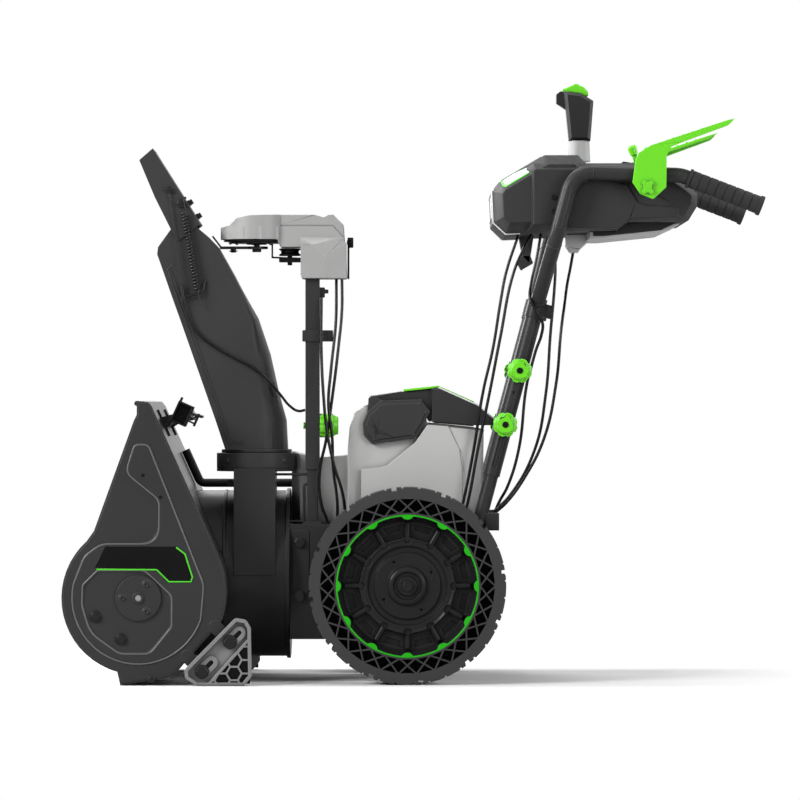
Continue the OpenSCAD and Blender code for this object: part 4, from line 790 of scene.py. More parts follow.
    @staticmethod
    def plate(name: str, outline: list[Flat], seat: Seat, thickness: float,
              rounding: float = 0.0) -> bpy.types.Object:
        """Cut a flat plate and lay it on its seat.

        Args:
            name: The piece's name.
            outline: The corners, measured along the seat's two axes.
            seat: Where the plate lies.
            thickness: How far it stands out of the seat.
            rounding: The width of its rounded edges.

        Returns:
            The plate.
        """
        piece = Bench.curve(name, [[(a, b, 0.0) for a, b in outline]], False, True)
        piece.data.dimensions = "2D"
        piece.data.fill_mode = "BOTH"
        piece.data.extrude = thickness / 2
        Bench.take(piece)
        bpy.ops.object.convert(target="MESH")
        piece.matrix_world = seat.matrix(thickness / 2)
        Bench.settle(piece)
        bpy.ops.object.mode_set(mode="EDIT")
        bpy.ops.mesh.select_all(action="SELECT")
        bpy.ops.mesh.remove_doubles(threshold=0.00001)
        Bench.outwards()
        if rounding:
            Bench.soften(piece, rounding, sharp=25.0)
        return piece

    @staticmethod
    def knob(name: str, seat: Seat, radius: float, height: float, sides: int,
             rounding: float) -> bpy.types.Object:
        """Turn a short round or many-sided stud on its seat, with a softened rim.

        Args:
            name: The piece's name.
            seat: Where the stud stands.
            radius: Its radius.
            height: How far it stands out.
            sides: How many sides it has.
            rounding: The width of its rounded rim.

        Returns:
            The stud.
        """
        Bench.clear()
        bpy.ops.mesh.primitive_cylinder_add(vertices=sides, radius=radius, depth=height)
        piece = Bench.named(name)
        piece.matrix_world = seat.matrix(height / 2)
        Bench.settle(piece)
        Bench.soften(piece, rounding, sharp=40.0)
        return piece

    @staticmethod
    def hull(name: str, corners: list[Point], rounding: float) -> bpy.types.Object:
        """Stretch a skin over corners, for a moulded facet.

        Args:
            name: The piece's name.
            corners: The corners.
            rounding: The width of its rounded edges.

        Returns:
            The closed facet.
        """
        Bench.clear()
        bpy.ops.mesh.primitive_circle_add(vertices=len(corners), radius=1.0)
        piece = Bench.named(name)
        for vertex, place in zip(piece.data.vertices, corners):
            vertex.co = place
        bpy.ops.object.mode_set(mode="EDIT")
        bpy.ops.mesh.select_all(action="SELECT")
        bpy.ops.mesh.convex_hull()
        bpy.ops.mesh.dissolve_limited(angle_limit=math.radians(1.0))
        Bench.outwards()
        Bench.soften(piece, rounding, sharp=8.0, shading=9.0)
        return piece

    @staticmethod
    def mirrored(piece: bpy.types.Object, name: str) -> bpy.types.Object:
        """Copy a piece to the other side of the machine.

        Args:
            piece: The piece on one side.
            name: The copy's name.

        Returns:
            The copy, with its own mesh and its faces outwards.
        """
        Bench.take(piece)
        bpy.ops.object.duplicate()
        copy = Bench.named(name)
        copy.scale = (1, -1, 1)
        Bench.settle(copy)
        bpy.ops.mesh.customdata_custom_splitnormals_clear()
        bpy.ops.object.mode_set(mode="EDIT")
        Bench.outwards()
        Bench.even(copy)
        return copy

    @staticmethod
    def coat(piece: bpy.types.Object, finish: Finish | Lamp) -> None:
        """Give the piece its finish in place of any other."""
        piece.data.materials.clear()
        piece.data.materials.append(finish.material())

    @staticmethod
    def dress(piece: bpy.types.Object, finish: Finish | Lamp, body: str,
              slot: str | None = None) -> bpy.types.Object:
        """Give the piece its finish and hang it on its body.

        Args:
            piece: The piece, in place.
            finish: Its finish.
            body: The CAD body that carries it.
            slot: The record's material slot, if any; not used.

        Returns:
            The same piece.
        """
        Bench.coat(piece, finish)
        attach(piece, body)
        return piece

    @staticmethod
    def pair(piece: bpy.types.Object, finish: Finish | Lamp, body: str, slot: str,
             far_body: str | None = None) -> None:
        """Dress a piece of the left side, and its mirror image on the right.

        Args:
            piece: The left piece, whose name ends in left.
            finish: The finish of both.
            body: The CAD body that carries the left one.
            slot: The record's material slot, passed on to Bench.dress.
            far_body: The body that carries the right one, where its name doesn't follow from the left one's.
        """
        other = Bench.mirrored(piece, piece.name.replace("left", "right"))
        Bench.dress(piece, finish, body, slot)
        Bench.dress(other, finish, far_body or body.replace("left", "right"), slot)


# ---------------------------------------------------------------- the stage


@dataclass(frozen=True)
class SoftBox:
    """A rectangular lamp that faces the middle of the machine."""

    name: str
    place: Point
    size: Flat
    power: float
    aim: Point = (0.0, 0.0, 0.5)

    def build(self) -> None:
        """Hang the lamp in its place."""
        lamp = bpy.data.lights.new(self.name, "AREA")
        lamp.shape = "RECTANGLE"
        lamp.size, lamp.size_y = self.size
        lamp.energy = self.power
        holder = bpy.data.objects.new(self.name, lamp)
        bpy.context.scene.collection.objects.link(holder)
        holder.location = self.place
        holder.rotation_euler = (Vector(self.aim) - Vector(self.place)).to_track_quat("-Z", "Y").to_euler()


SOFT_BOXES = (
    SoftBox("key", (-3.6, -2.9, 2.6), (1.8, 1.8), 200.0),
    SoftBox("fill", (3.0, -3.8, 1.3), (1.6, 2.0), 60.0),
    SoftBox("rim_front", (-3.4, 0.2, 1.9), (0.5, 2.4), 130.0),
    SoftBox("rim_back", (3.6, 0.1, 1.5), (0.5, 2.2), 60.0),
    SoftBox("top", (0.0, 0.0, 3.8), (2.8, 0.6), 45.0),
    SoftBox("far", (-1.6, 3.2, 2.0), (2.4, 2.4), 60.0),
)
"""The key and the fill stand on the camera's side, a rim at each end, one is overhead and one is beyond."""


@dataclass
class Stage:
    """The pale floor, the white backdrop, the soft lamps and the camera."""

    camera_at: Point = (-0.0254, -10.6, 0.5495)
    lens_mm: float = 240.8
    sensor_mm: float = 36.0
    sight: float = 100.0
    floor_half: float = 30.0
    soft_light: float = 0.24
    backdrop_light: float = 1.0
    floor_grey: Colour = (0.45, 0.45, 0.45)
    floor_seen: Colour = (0.93, 0.93, 0.93)
    fade: Flat = (0.75, 1.5)

    def build(self) -> None:
        """Build the whole stage."""
        self._world()
        self._floor()
        for box in SOFT_BOXES:
            box.build()
        self._camera()

    def _world(self) -> None:
        """White for the camera and mirrors, plain soft light for the rest."""
        world = bpy.data.worlds.new("studio")
        bpy.context.scene.world = world
        sky = Board(world, "OutputWorld")
        path = sky.node("LightPath").outputs
        mirrored = sky.sums("ADD", path["Is Glossy Ray"], path["Is Transmission Ray"])
        seen = sky.sums("ADD", path["Is Camera Ray"], mirrored, True)
        lights = []
        for strength in (self.soft_light, self.backdrop_light):
            light = sky.node("Background")
            light.inputs["Strength"].default_value = strength
            light.inputs["Color"].default_value = PLAIN_WHITE
            lights.append(light)
        sky.mixed(seen, *lights)

    def _floor(self) -> None:
        """A pale floor that holds the shadow and runs out into the white backdrop."""
        Bench.clear()
        bpy.ops.mesh.primitive_plane_add(size=2 * self.floor_half, location=(0, 0, 0))
        floor = Bench.named("floor")
        board = Board(bpy.data.materials.new("pale_floor"))
        paint = board.node("BsdfDiffuse")
        seen = board.node("LightPath").outputs["Is Camera Ray"]
        board.link(board.blend(seen, self.floor_grey, self.floor_seen), paint.inputs["Color"])
        glow = board.node("Emission")
        glow.inputs["Color"].default_value = PLAIN_WHITE
        distance = board.node("VectorMath", operation="LENGTH")
        board.link(board.place(), distance.inputs[0])
        reach = board.spread(distance.outputs["Value"], 0.0, 1.0, *self.fade)
        board.mixed(board.sums("MULTIPLY", reach, seen), paint, glow)
        floor.data.materials.append(board.owner)

    def _camera(self) -> None:
        """A long lens square to the machine's left side."""
        camera = bpy.data.cameras.new("camera")
        camera.lens = self.lens_mm
        camera.sensor_width = self.sensor_mm
        camera.clip_end = self.sight
        holder = bpy.data.objects.new("camera", camera)
        bpy.context.scene.collection.objects.link(holder)
        holder.location = self.camera_at
        holder.rotation_euler = (math.radians(90), 0, 0)
        bpy.context.scene.camera = holder


# ---------------------------------------------------------------- the CAD pieces


@dataclass(frozen=True)
class Dressing:
    """How one CAD node is shown: its finish, and the width of its rounded edges in metres."""

    node: str
    finish: Finish
    rounding: float = 0.0
    segments: int = 2

    def build(self) -> None:
        """Give the node its finish, and show it through a copy where its edges are rounded."""
        if not self.rounding:
            Bench.coat(Bench.nodes[self.node], self.finish)
            return
        shown = Bench.copied(self.node, self.node + "_soft")
        Bench.soften(shown, self.rounding, self.segments)
        Bench.dress(shown, self.finish, Bench.bodies[self.node])
        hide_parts(self.node)


DRESSINGS = (
    Dressing("auger_housing", BLACK_COAT, 0.0008),
    Dressing("side_plates", PRESSED_COAT, 0.0008),
    Dressing("scraper_bar", BLACK_COAT, 0.0008),
    Dressing("bearing_flanges", PRESSED_COAT, 0.0012),
    Dressing("impeller_drum", BLACK_COAT, 0.0010),
    Dressing("chute_ring", BLACK_MOULDED, 0.0012),
    Dressing("chassis_bolts", BLACK_OXIDE, 0.0006),
    Dressing("chassis_frame", BLACK_COAT, 0.0008),
    Dressing("transaxle", CAST_METAL, 0.0015),
    Dressing("auger_motor", CAST_METAL, 0.0015),
    Dressing("auger_gearbox", CAST_METAL, 0.0015),
    Dressing("battery_hood", HOOD_MOULDED, 0.0020, 3),
    Dressing("hood_panels", BLACK_MOULDED, 0.0015),
    Dressing("battery_packs", BLACK_MOULDED, 0.0015),
    Dressing("turret_post", BLACK_COAT, 0.0015),
    Dressing("turret_base", DEEP_MOULDED, 0.0012),
    Dressing("turret_cover", GREY_MOULDED, 0.0010),
    Dressing("turret_cables", SHEATH),
    Dressing("braces", BLACK_COAT),
    Dressing("lower_tubes", BLACK_COAT, 0.0008),
    Dressing("impeller", BLACK_COAT, 0.0008),
    Dressing("auger_shaft", ZINC, 0.0008),
    Dressing("auger_flights", BLACK_COAT, 0.0006),
    Dressing("chute", BLACK_MOULDED, 0.0010),
    Dressing("chute_fittings", BLACK_OXIDE, 0.0006),
    Dressing("deflector", BLACK_MOULDED),
    Dressing("deflector_spring", ZINC),
    Dressing("deflector_wire", DARK_WIRE),
    Dressing("deflector_cable", SHEATH),
    Dressing("battery_lid", LID_GLOSS, 0.0020, 3),
    Dressing("lid_trim", GREEN_MOULDED, 0.0010),
    Dressing("skid_left", GREY_COAT, 0.0005),
    Dressing("skid_right", GREY_COAT, 0.0005),
    Dressing("cleanout_tool", DEEP_MOULDED, 0.0010),
    Dressing("post_knob", GREEN_MOULDED, 0.0015),
    Dressing("handlebar", BLACK_COAT, 0.0008),
    Dressing("console_body", SATIN_MOULDED, 0.0020, 3),
    Dressing("console_cover", PALE_MOULDED, 0.0020, 3),
    Dressing("headlights", LAMP_LENS),
    Dressing("grips", GRIP_RUBBER, 0.0010),
    Dressing("knob_lower_left", GREEN_MOULDED, 0.0015),
    Dressing("knob_lower_right", GREEN_MOULDED, 0.0015),
    Dressing("knob_upper_left", GREEN_MOULDED, 0.0015),
    Dressing("knob_upper_right", GREEN_MOULDED, 0.0015),
    Dressing("auger_lever", GREEN_MOULDED, 0.0006),
    Dressing("drive_lever", GREEN_MOULDED, 0.0006),
    Dressing("joystick_gimbal", ZINC, 0.0008),
    Dressing("joystick", STICK_RUBBER, 0.0006),
    Dressing("joystick_button", GREEN_MOULDED, 0.0020),
    Dressing("speed_lever_left", GREEN_MOULDED, 0.0012),
    Dressing("speed_lever_right", GREEN_MOULDED, 0.0012),
    Dressing("control_cables", SHEATH),
    Dressing("tyre_left", TYRE_RUBBER, 0.0008),
    Dressing("rim_left", RIM_BLACK, 0.0006),
    Dressing("rim_ring_left", RING_GREEN, 0.0008),
    Dressing("half_shaft_left", ZINC, 0.0008),
    Dressing("tyre_right", TYRE_RUBBER, 0.0008),
    Dressing("rim_right", RIM_BLACK, 0.0006),
    Dressing("rim_ring_right", RING_GREEN, 0.0008),
    Dressing("half_shaft_right", ZINC, 0.0008),
)


# ---------------------------------------------------------------- the auger housing


@dataclass
class NamePanels:
    """The bare black panel with its green edge line on each side plate."""

    auger_axis: Flat = (-0.529, 0.1685)
    face: float = 0.3076
    thickness: float = 0.0006
    line: float = 0.0030
    swell: float = 0.3

    def build(self) -> None:
        """Build both panels with their lines, and the two small pads above them."""
        seat = Seat((self.auger_axis[0], -self.face, self.auger_axis[1]))
        outline = points([[-64, 100], [73.6, 100], [92, 86.6], [107, 40], [103, 29], [57, 29], [34, 52],
                          [-85, 57.7]])
        panel = Bench.plate("name_panel_left", outline, seat, self.thickness, HAIR)
        edge = points([[-80, 55.2, 0], [35.5, 54.6, 0], [59, 31.4, 0], [101.5, 31.4, 0], [104.4, 40.5, 0],
                       [90, 84.9, 0], [73, 97.6, 0]])
        line = Bench.wire("name_panel_line_left", [edge], self.line, False)
        Bench.pressed(line, seat, self.thickness, self.swell)
        pads = []
        for number, (a, b) in enumerate(((9, 236), (43, 194))):
            pad = points([[a - 4.6, b - 1.6], [a + 1.6, b - 4.6], [a + 4.6, b + 1.6], [a - 1.6, b + 4.6]])
            pads.append(Bench.plate(f"pad_{number}", pad, seat, self.thickness, HAIR))
        marks = Bench.join(pads, "stamp_pads_left")
        Bench.pair(panel, BLACK_GLOSS, "chassis", "gloss_black")
        Bench.pair(line, LINE_GREEN, "chassis", "green_plastic")
        Bench.pair(marks, DEEP_MOULDED, "chassis", "gloss_black")


# ---------------------------------------------------------------- the console


@dataclass
class ConsoleFront:
    """The lamps on the slanted corners of the console, and a pale line along its front edge that is a painted
    highlight.
    """

    ridge: Point = (0.166, -0.188, 0.972)
    along: Point = (0.857, 0.0, 0.5145)
    up: Point = (-0.1787, 0.9376, 0.2976)
    thickness: float = 0.0012
    rounding: float = 0.0004
    glass_lift: float = 0.0010
    highlight_width: float = 0.0042

    def build(self) -> None:
        """Build the diode lamps with their green frames and the pale line of painted highlight."""
        seat = Seat(self.ridge, self.along, self.up)
        raised = Seat(tuple(seat.matrix(self.glass_lift).translation), self.along, self.up)
        outline = points([[2.5, -33], [4.5, -5], [36, -3.5], [70.5, -14.5], [73, -34], [62.5, -46.5],
                          [6.5, -46.5]])
        inset = points([[8, -32.5], [9.5, -9.5], [36, -8], [66, -18], [68, -33.5], [60.5, -41.5],
                        [10.5, -41.5]])
        frame = Bench.plate("lamp_frame_left", outline, seat, self.thickness, self.rounding)
        glass = Bench.plate("lamp_left", inset, raised, self.thickness, self.rounding)
        edge = points([[172, -189, 969], [153.5, -188.6, 955.5], [156.4, -188.6, 894.5], [180, -188.6, 872.6],
                       [208, -188.6, 874]])
        # A pale line along the front edge, as a painted highlight.
        highlight_line = Bench.wire("front_trim_left", [edge], self.highlight_width, False)
        Bench.pair(frame, LINE_GREEN, "handle", "green_plastic")
        Bench.pair(glass, DIODES, "handle", "lens")
        Bench.pair(highlight_line, WHITE_HIGHLIGHT, "handle", "grey_plastic")


@dataclass
class ConsoleKeys:
    """The two round keys on each flank of the console, the boots of the speed levers and the lever clips."""

    flank: float = 0.250
    keys: tuple[Flat, ...] = ((0.2725, 0.9412), (0.2725, 0.9150))
    key_radius: float = 0.0052
    key_rise: float = 0.0026
    pivot: Flat = (0.451, 0.959)
    clip_face: float = 0.3085
    clip_depth: float = 0.004
    lobe_step: Flat = (0.0068, 0.0085)
    lobe_radius: float = 0.0046
    webs: tuple[Flat, ...] = ((0.0085, 0.0055), (0.0050, 0.0105))
    boot: Point = (0.452, 0.062, 1.0035)
    boot_radius: float = 0.019
    boot_folds: tuple[Flat, ...] = ((0.82, 0.0015), (1.12, 0.002), (0.76, 0.0015), (1.1, 0.002),
                                    (0.6, 0.0025))

    def build(self) -> None:
        """Build the keys, the clips and the boots on both sides."""
        rings = []
        for number, (x, z) in enumerate(self.keys):
            seat = Seat((x, -self.flank + HAIR, z))
            rings.append(Bench.knob(f"key_{number}_left", seat, self.key_radius, self.key_rise, 24, 0.0008))
        clip = self._clip()
        for ring in rings:
            Bench.pair(ring, BLACK_GLOSS, "handle", "gloss_black")
        Bench.pair(clip, GREEN_MOULDED, "auger_control", "green_plastic", "drive_control")
        for side, label in ((LEFT, "left"), (RIGHT, "right")):
            self._bellows(side, f"speed_boot_{label}")

    def _clip(self) -> bpy.types.Object:
        """Build the four-lobed spring clip on the pivot of the near lever.

        Returns:
            The clip.
        """
        x, z = self.pivot
        y = -self.clip_face + self.clip_depth
        lobes = []
        for number, (a, b) in enumerate(((-1, -1), (-1, 1), (1, -1), (1, 1))):
            seat = Seat((x + self.lobe_step[0] * a, y, z + self.lobe_step[1] * b))
            lobes.append(Bench.knob(f"lobe_{number}", seat, self.lobe_radius, 0.0055, 20, 0.0008))
        for number, (width, height) in enumerate(self.webs):
            outline = [(-width, -height), (width, -height), (width, height), (-width, height)]
            web = Bench.plate(f"web_{number}", outline, Seat((x, y, z)), 0.0050 - number * HAIR, 0.0008)
            lobes.append(web)
        return Bench.join(lobes, "lever_clip_left")

    def _bellows(self, side: int, name: str) -> None:
        """Build the ribbed boot at the foot of a speed lever.

        Args:
            side: The side of the machine.
            name: The boot's name.
        """
        x, y, z = self.boot
        Bench.clear()
        bpy.ops.mesh.primitive_cylinder_add(vertices=32, radius=self.boot_radius, depth=0.004,
                                            location=(x, side * y, z))
        boot = Bench.named(name)
        bpy.ops.object.mode_set(mode="EDIT")
        bpy.ops.mesh.select_all(action="DESELECT")
        bpy.ops.object.mode_set(mode="OBJECT")
        Bench.stacked(boot, self.boot_folds)
        Bench.settle(boot)
        Bench.soften(boot, 0.0005, sharp=20.0)
        Bench.dress(boot, GRIP_RUBBER, "handle", "grip_rubber")


# ---------------------------------------------------------------- cables and springs


CONTROL_ROUTES = (
    [[206, -130, 872.2], [182, -140, 799], [172, -146, 748], [156, -150, 650], [137, -151, 567],
     [118, -150, 450], [98, -149, 350], [86, -148, 302]],
    [[232, -136, 873.1], [214, -144, 840], [197, -150, 800], [170, -158, 670], [150, -160, 567],
     [126, -160, 450], [107, -158, 350], [94, -150, 302]],
    [[272, -160, 874.8], [277, -182, 812], [275, -185.5, 765], [272.5, -186, 735], [268, -186, 686],
     [258, -186, 559], [237, -182, 453], [190, -168, 365], [157, -158, 331.4]],
    [[317, -4, 839.8], [311, -44, 812], [302, -112, 775], [294, -174, 728], [288, -194, 686],
     [278, -196, 581], [254, -195, 473], [216, -186, 397], [182, -176, 350], [162, -166, 331.4]],
    [[250, -152, 873.8], [240, -160, 820], [230, -170, 775], [228, -181, 748], [240, -186, 722],
     [252, -182, 700], [250, -174, 676], [240, -170, 648], [230, -169, 612], [222, -168, 581],
     [206, -168, 453], [184, -162, 380], [168, -152, 350], [160, -150, 331.4]],
)
"""The points of each control cable, in millimetres. The fifth one swerves round the left upper knob, which
rises with the handle."""
TURRET_ROUTES = (
    [[-139, -126, 786], [-139, -134, 726], [-146, -144, 650], [-158, -149, 552], [-170, -149, 470],
     [-182, -145, 412], [-180, -139, 350], [-166, -132, 308.3]],
    [[-150, -118, 786], [-151, -138, 700], [-160, -152, 610], [-165, -157, 540], [-158, -157, 480],
     [-156, -153, 420], [-148, -142, 350], [-148, -132, 308.2]],
    [[-179, -138, 750], [-179, -152, 650], [-174, -165, 550], [-168, -165, 490], [-156, -162, 430],
     [-136, -148, 360], [-132, -132, 308.2]],
)
DEFLECTOR_ROUTES = (
    [[-447.5, -158, 743], [-443, -158, 720], [-426, -158, 686], [-386, -157, 653], [-352, -157, 634],
     [-318, -156, 616], [-287, -152, 593], [-260, -140, 561], [-240, -128, 537], [-224, -121, 528],
     [-211.2, -120, 530]],
)


@dataclass
class Cables:
    """The smooth cables that stand for the faceted ones."""

    width: float = 0.006
    thin: float = 0.0054

    def build(self) -> None:
        """Build the control, turret and deflector cables."""
        control = self._laid("control_cables_smooth", CONTROL_ROUTES, self.width)
        Bench.coat(control, SHEATH)
        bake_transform(control)
        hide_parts("control_cables")
        turret = self._laid("turret_cables_smooth", TURRET_ROUTES, self.width)
        self._stand_in(turret, "turret_cables", "chassis")
        deflector = self._laid("deflector_cable_smooth", DEFLECTOR_ROUTES, self.thin)
        self._stand_in(deflector, "deflector_cable", "chute_unit")

    @staticmethod
    def _laid(name: str, routes: tuple[list[list[float]], ...], width: float) -> bpy.types.Object:
        """Lay cables of one width along their routes.

        Args:
            name: The piece's name.
            routes: The points of each cable, in millimetres.
            width: The cables' diameter, in metres.

        Returns:
            One piece of all the cables.
        """
        return Bench.wire(name, [points(route) for route in routes], width)

    @staticmethod
    def _stand_in(piece: bpy.types.Object, node: str, body: str) -> None:
        """Dress a cable and let it stand for its CAD node."""
        Bench.dress(piece, SHEATH, body, "cable_sheath")
        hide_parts(node)


@dataclass
class DeflectorSpring:
    """The coil spring with its hooks beside the chute."""

    top: Point = (-0.4474, -0.1616, 0.916)
    foot: Point = (-0.4204, -0.1616, 0.763)
    radius: float = 0.0050
    wire: float = 0.0028
    turns: int = 25
    steps: int = 10

    def build(self) -> None:
        """Build the spring as one wire, from the upper hook through its coils to the lower tail."""
        top, foot = Vector(self.top), Vector(self.foot)
        axis = (foot - top).normalized()
        side = axis.cross(Vector((0, 1, 0))).normalized()
        front = axis.cross(side)
        line = points([[-446, -161.6, 946], [-446.8, -161.6, 930]])
        for step in range(self.turns * self.steps + 1):
            share = step / (self.turns * self.steps)
            angle = 2 * math.pi * step / self.steps
            spot = top.lerp(foot, share) + (side * math.cos(angle) + front * math.sin(angle)) * self.radius
            line.append(tuple(spot))
        line += points([[-419, -161.6, 757], [-413, -161.6, 733]])
        coil = Bench.wire("deflector_coil", [line], self.wire, False)
        Bench.dress(coil, DARK_WIRE, "chute_unit", "bare_steel")
        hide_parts("deflector_spring")


# ---------------------------------------------------------------- the chute


@dataclass
class ChuteBeads:
    """The pressed double line along the front edge of each wall of the chute, with its foot."""

    centre: float = -0.085
    half: float = 0.064
    width: float = 0.0028

    def build(self) -> None:
        """Build the two lines on both walls."""
        edge = [[-366.8, 456], [-385.8, 510], [-405.8, 567], [-429.3, 634], [-451.8, 698], [-470.8, 751],
                [-486, 795]]
        for side, label in ((LEFT, "near"), (RIGHT, "far")):
            y = 1000 * (self.centre + side * self.half)
            outer = [[-470, y, 812]] + [[x + 6.5, y, z + 10] for x, z in edge[::-1]]
            outer += [[-356, y, 463], [-331, y, 463], [-326, y, 468]]
            inner = [[x + 12.5, y, z + 12] for x, z in edge[::-1]] + [[-350, y, 469], [-333, y, 469]]
            beads = Bench.wire(f"chute_beads_{label}", [points(outer), points(inner)], self.width, False)
            Bench.dress(beads, BLACK_MOULDED, "chute_unit", "black_plastic")


@dataclass
class DeflectorWashers:
    """The washers on the wire's anchor and the spring's post on the deflector."""

    face: float = -0.1594
    places: tuple[Flat, ...] = ((-0.4767, 0.9599), (-0.4537, 0.9329))

    def build(self) -> None:
        """Build both washers with their caps."""
        parts = []
        for number, (x, z) in enumerate(self.places):
            washer, cap = Seat((x, self.face + 0.001, z)), Seat((x, self.face - 0.0004, z))
            parts.append(Bench.knob(f"washer_{number}", washer, 0.0066, 0.0016, 28, 0.0005))
            parts.append(Bench.knob(f"cap_{number}", cap, 0.0036, 0.0026, 20, 0.0008))
        Bench.dress(Bench.join(parts, "deflector_washers"), BLACK_OXIDE, "deflector_unit", "dark_bolts")


# ---------------------------------------------------------------- stampings and mouldings


@dataclass
class PlateRidges:
    """The stamped ridges that frame the raised field and the pocket of each side plate, coloured lighter than
    the plate as a painted highlight.
    """

    auger_axis: Flat = (-0.529, 0.1685)
    radius: float = 0.1272
    arc_start: float = -12.0
    arc: float = 188.0
    steps: int = 25
    face: float = 0.3072
    width: float = 0.0034
    swell: float = 0.55

    def build(self) -> None:
        """Build the ridges of the field and of the pocket on both sides."""
        field = [(-24, 241, 22), (-7, 295, 12), (19, 295, 14), (126, 25, 50)]
        for step in range(1, self.steps):
            angle = math.radians(self.arc_start - self.arc * step / self.steps)
            field.append((1000 * self.radius * math.cos(angle), 1000 * self.radius * math.sin(angle), 6))
        field += [(-103.6, 80, 40), (-71, 104, 40), (40, 104, 34), (40, 189, 26)]
        pocket = [(-107, 25, 12), (-78, 53.5, 12), (12, 53.5, 20), (64.5, 4.5, 20), (64.5, -56, 16),
                  (23, -107.5, 24), (-36, -107.5, 30), (-93, -67, 60), (-108.5, -14, 40)]
        lines = [[(a / 1000, b / 1000, 0.0) for a, b in filleted(corners)] for corners in (field, pocket)]
        ridge = Bench.wire("plate_ridges_left", lines, self.width, False, True)
        Bench.pressed(ridge, Seat((self.auger_axis[0], -self.face, self.auger_axis[1])), 0.0, self.swell)
        Bench.pair(ridge, RIDGE_HIGHLIGHT, "chassis", "black_steel")


@dataclass
class SkidShadeSheet:
    """A dark sheet behind the honeycomb of each skid shoe, as painted shade that darkens the deep cells."""

    auger_x: float = -0.529
    floor: float = 0.311
    thickness: float = 0.0012

    def build(self) -> None:
        """Build the painted shade sheets of both shoes."""
        outline = points([[137, 5], [216, 93], [215, 4]])
        # A dark sheet as painted shade in the deep cells.
        web = Bench.plate("skid_web_left", outline, Seat((self.auger_x, -self.floor, 0.0)), self.thickness)
        Bench.pair(web, DEEP_MOULDED, "skid_left_unit", "grey_steel")


@dataclass
class TurretFacets:
    """The facets moulded into the turret's cover: its many-sided nose and its creased cheeks."""

    axis: Flat = (-0.3068, -0.085)
    half: float = 0.050
    rise: float = 0.013
    sides: int = 12
    nose_radius: float = 0.0712
    nose_steps: tuple[Flat, ...] = ((0.80, 0.0035), (0.76, 0.0135), (0.45, 0.0058))

    def build(self) -> None:
        """Build the nose and the cheeks on both sides of the turret."""
        pieces = [self._nose()]
        for side, label in ((LEFT, "near"), (RIGHT, "far")):
            pieces += self._cheek(side, label)
        Bench.dress(Bench.join(pieces, "turret_facets"), GREY_MOULDED, "chassis", "grey_plastic")

    def _nose(self) -> bpy.types.Object:
        """Build the many-sided nose, stepped in towards its crown.

        Returns:
            The nose.
        """
        x, y = self.axis
        Bench.clear()
        bpy.ops.mesh.primitive_cylinder_add(vertices=self.sides, radius=self.nose_radius, depth=0.0245,
                                            location=(x, y, 0.8763), rotation=(0, 0, math.radians(8)))
        nose = Bench.named("nose")
        Bench.stacked(nose, self.nose_steps)
        Bench.settle(nose)
        Bench.soften(nose, 0.0010, sharp=15.0, shading=10.0)
        return nose

    def _cheek(self, side: int, label: str) -> list[bpy.types.Object]:
        """Build the facets of one cheek.

        Args:
            side: The side of the turret.
            label: The name of that side.

        Returns:
            The facets.
        """
        base = self.axis[1] + side * (self.half - 0.001)
        flush = self.axis[1] + side * (self.half + HAIR)
        proud = self.axis[1] + side * (self.half + self.rise)
        front = points([[-218.5, 850], [-196, 853], [-170, 829], [-170, 788], [-218.5, 788]])
        rear = points([[-170, 829], [-139, 862], [-131, 858], [-130, 788], [-170, 788]])
        crown = points([[-221, 868], [-139, 868], [-139, 862], [-170, 829], [-196, 853], [-219, 850]])
        lifts = {
            "front": (front, (proud,) * 5), "rear": (rear, (proud, flush, flush, flush, proud)),
            "crown": (crown, (flush, flush, flush, proud, proud, flush)),
        }
        made = []
        for name, (outline, depths) in lifts.items():
            corners = [(x, depth, z) for (x, z), depth in zip(outline, depths)]
            corners += [(x, base, z) for x, z in outline]
            made.append(Bench.hull(f"{name}_{label}", corners, 0.0006))
        return made


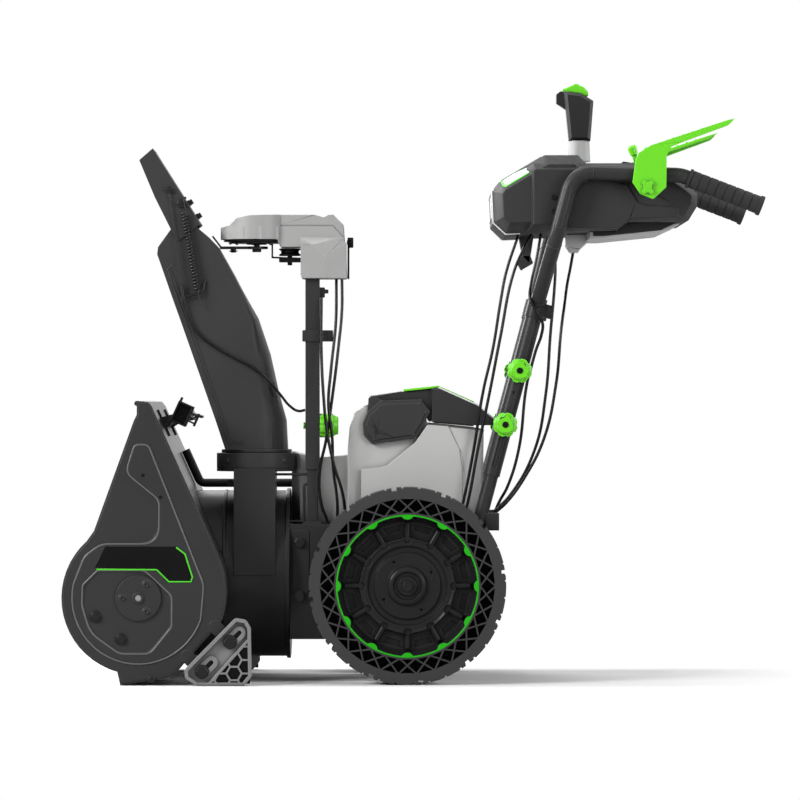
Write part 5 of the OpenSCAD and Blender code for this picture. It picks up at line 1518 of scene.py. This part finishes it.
@dataclass
class LidHighlights:
    """Pale strips along the top edges of the lid, which are painted highlights."""

    lid_face: float = 0.1312
    nose_face: float = 0.1190
    width: float = 0.0030

    def build(self) -> None:
        """Build the painted highlight strips on both sides of the lid."""
        front = points([[-84, 557.6], [-22, 567.2]])
        rear = points([[50, 574.2], [128, 539.2], [160, 512]])
        side = [(x, -self.lid_face + 0.0012, z) for x, z in rear]
        nose = [(x, -self.nose_face, z) for x, z in front]
        # Pale strips as painted highlights on the lid's top edges.
        strip = Bench.wire("lid_strip_left", [side, nose], self.width, False)
        Bench.pair(strip, WHITE_HIGHLIGHT, "lid", "grey_plastic")


@dataclass
class PanSkirts:
    """The dark skirts of the console that overlap the pale cover below it."""

    face: float = 0.1492
    thickness: float = 0.0014

    def build(self) -> None:
        """Build the skirts on both sides."""
        outline = points([[352, 869.5], [372, 869.5], [484, 881], [514, 895.4], [418, 895.4], [396, 879.4],
                          [352, 878.4]])
        skirt = Bench.plate("pan_skirt_left", outline, Seat((0.0, -self.face, 0.0)), self.thickness, 0.0004)
        Bench.pair(skirt, BLACK_MOULDED, "handle", "black_plastic")


@dataclass
class KnobCaps:
    """The dark caps in the middle of the green clamp knobs."""

    radius: float = 0.0062
    height: float = 0.0016

    def build(self) -> None:
        """Build a cap on each knob of the handle."""
        for level in ("lower", "upper"):
            low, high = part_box(f"knob_{level}_left")
            middle = (low + high) / 2
            seat = Seat((middle.x, low.y + HAIR, middle.z))
            cap = Bench.knob(f"cap_{level}_left", seat, self.radius, self.height, 24, 0.0005)
            Bench.pair(cap, DEEP_MOULDED, f"clamp_{level}_left", "black_plastic")


def main() -> None:
    """Load the frame, build the stage and each sub-assembly in order."""
    logging.basicConfig(level=logging.INFO, format="%(message)s")
    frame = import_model()
    bpy.context.scene.view_settings.view_transform = "Standard"
    Stage().build()
    Bench.open(frame)
    for dressing in DRESSINGS:
        dressing.build()
        LOG.info("dressed %s", dressing.node)
    for assembly in (NamePanels(), PlateRidges(), SkidShadeSheet(), ConsoleFront(), ConsoleKeys(), PanSkirts(),
                     KnobCaps(), Cables(), DeflectorSpring(), DeflectorWashers(), ChuteBeads(),
                     TurretFacets(), LidHighlights()):
        assembly.build()
        LOG.info("built %s", type(assembly).__name__)


if __name__ == "__main__":
    main()
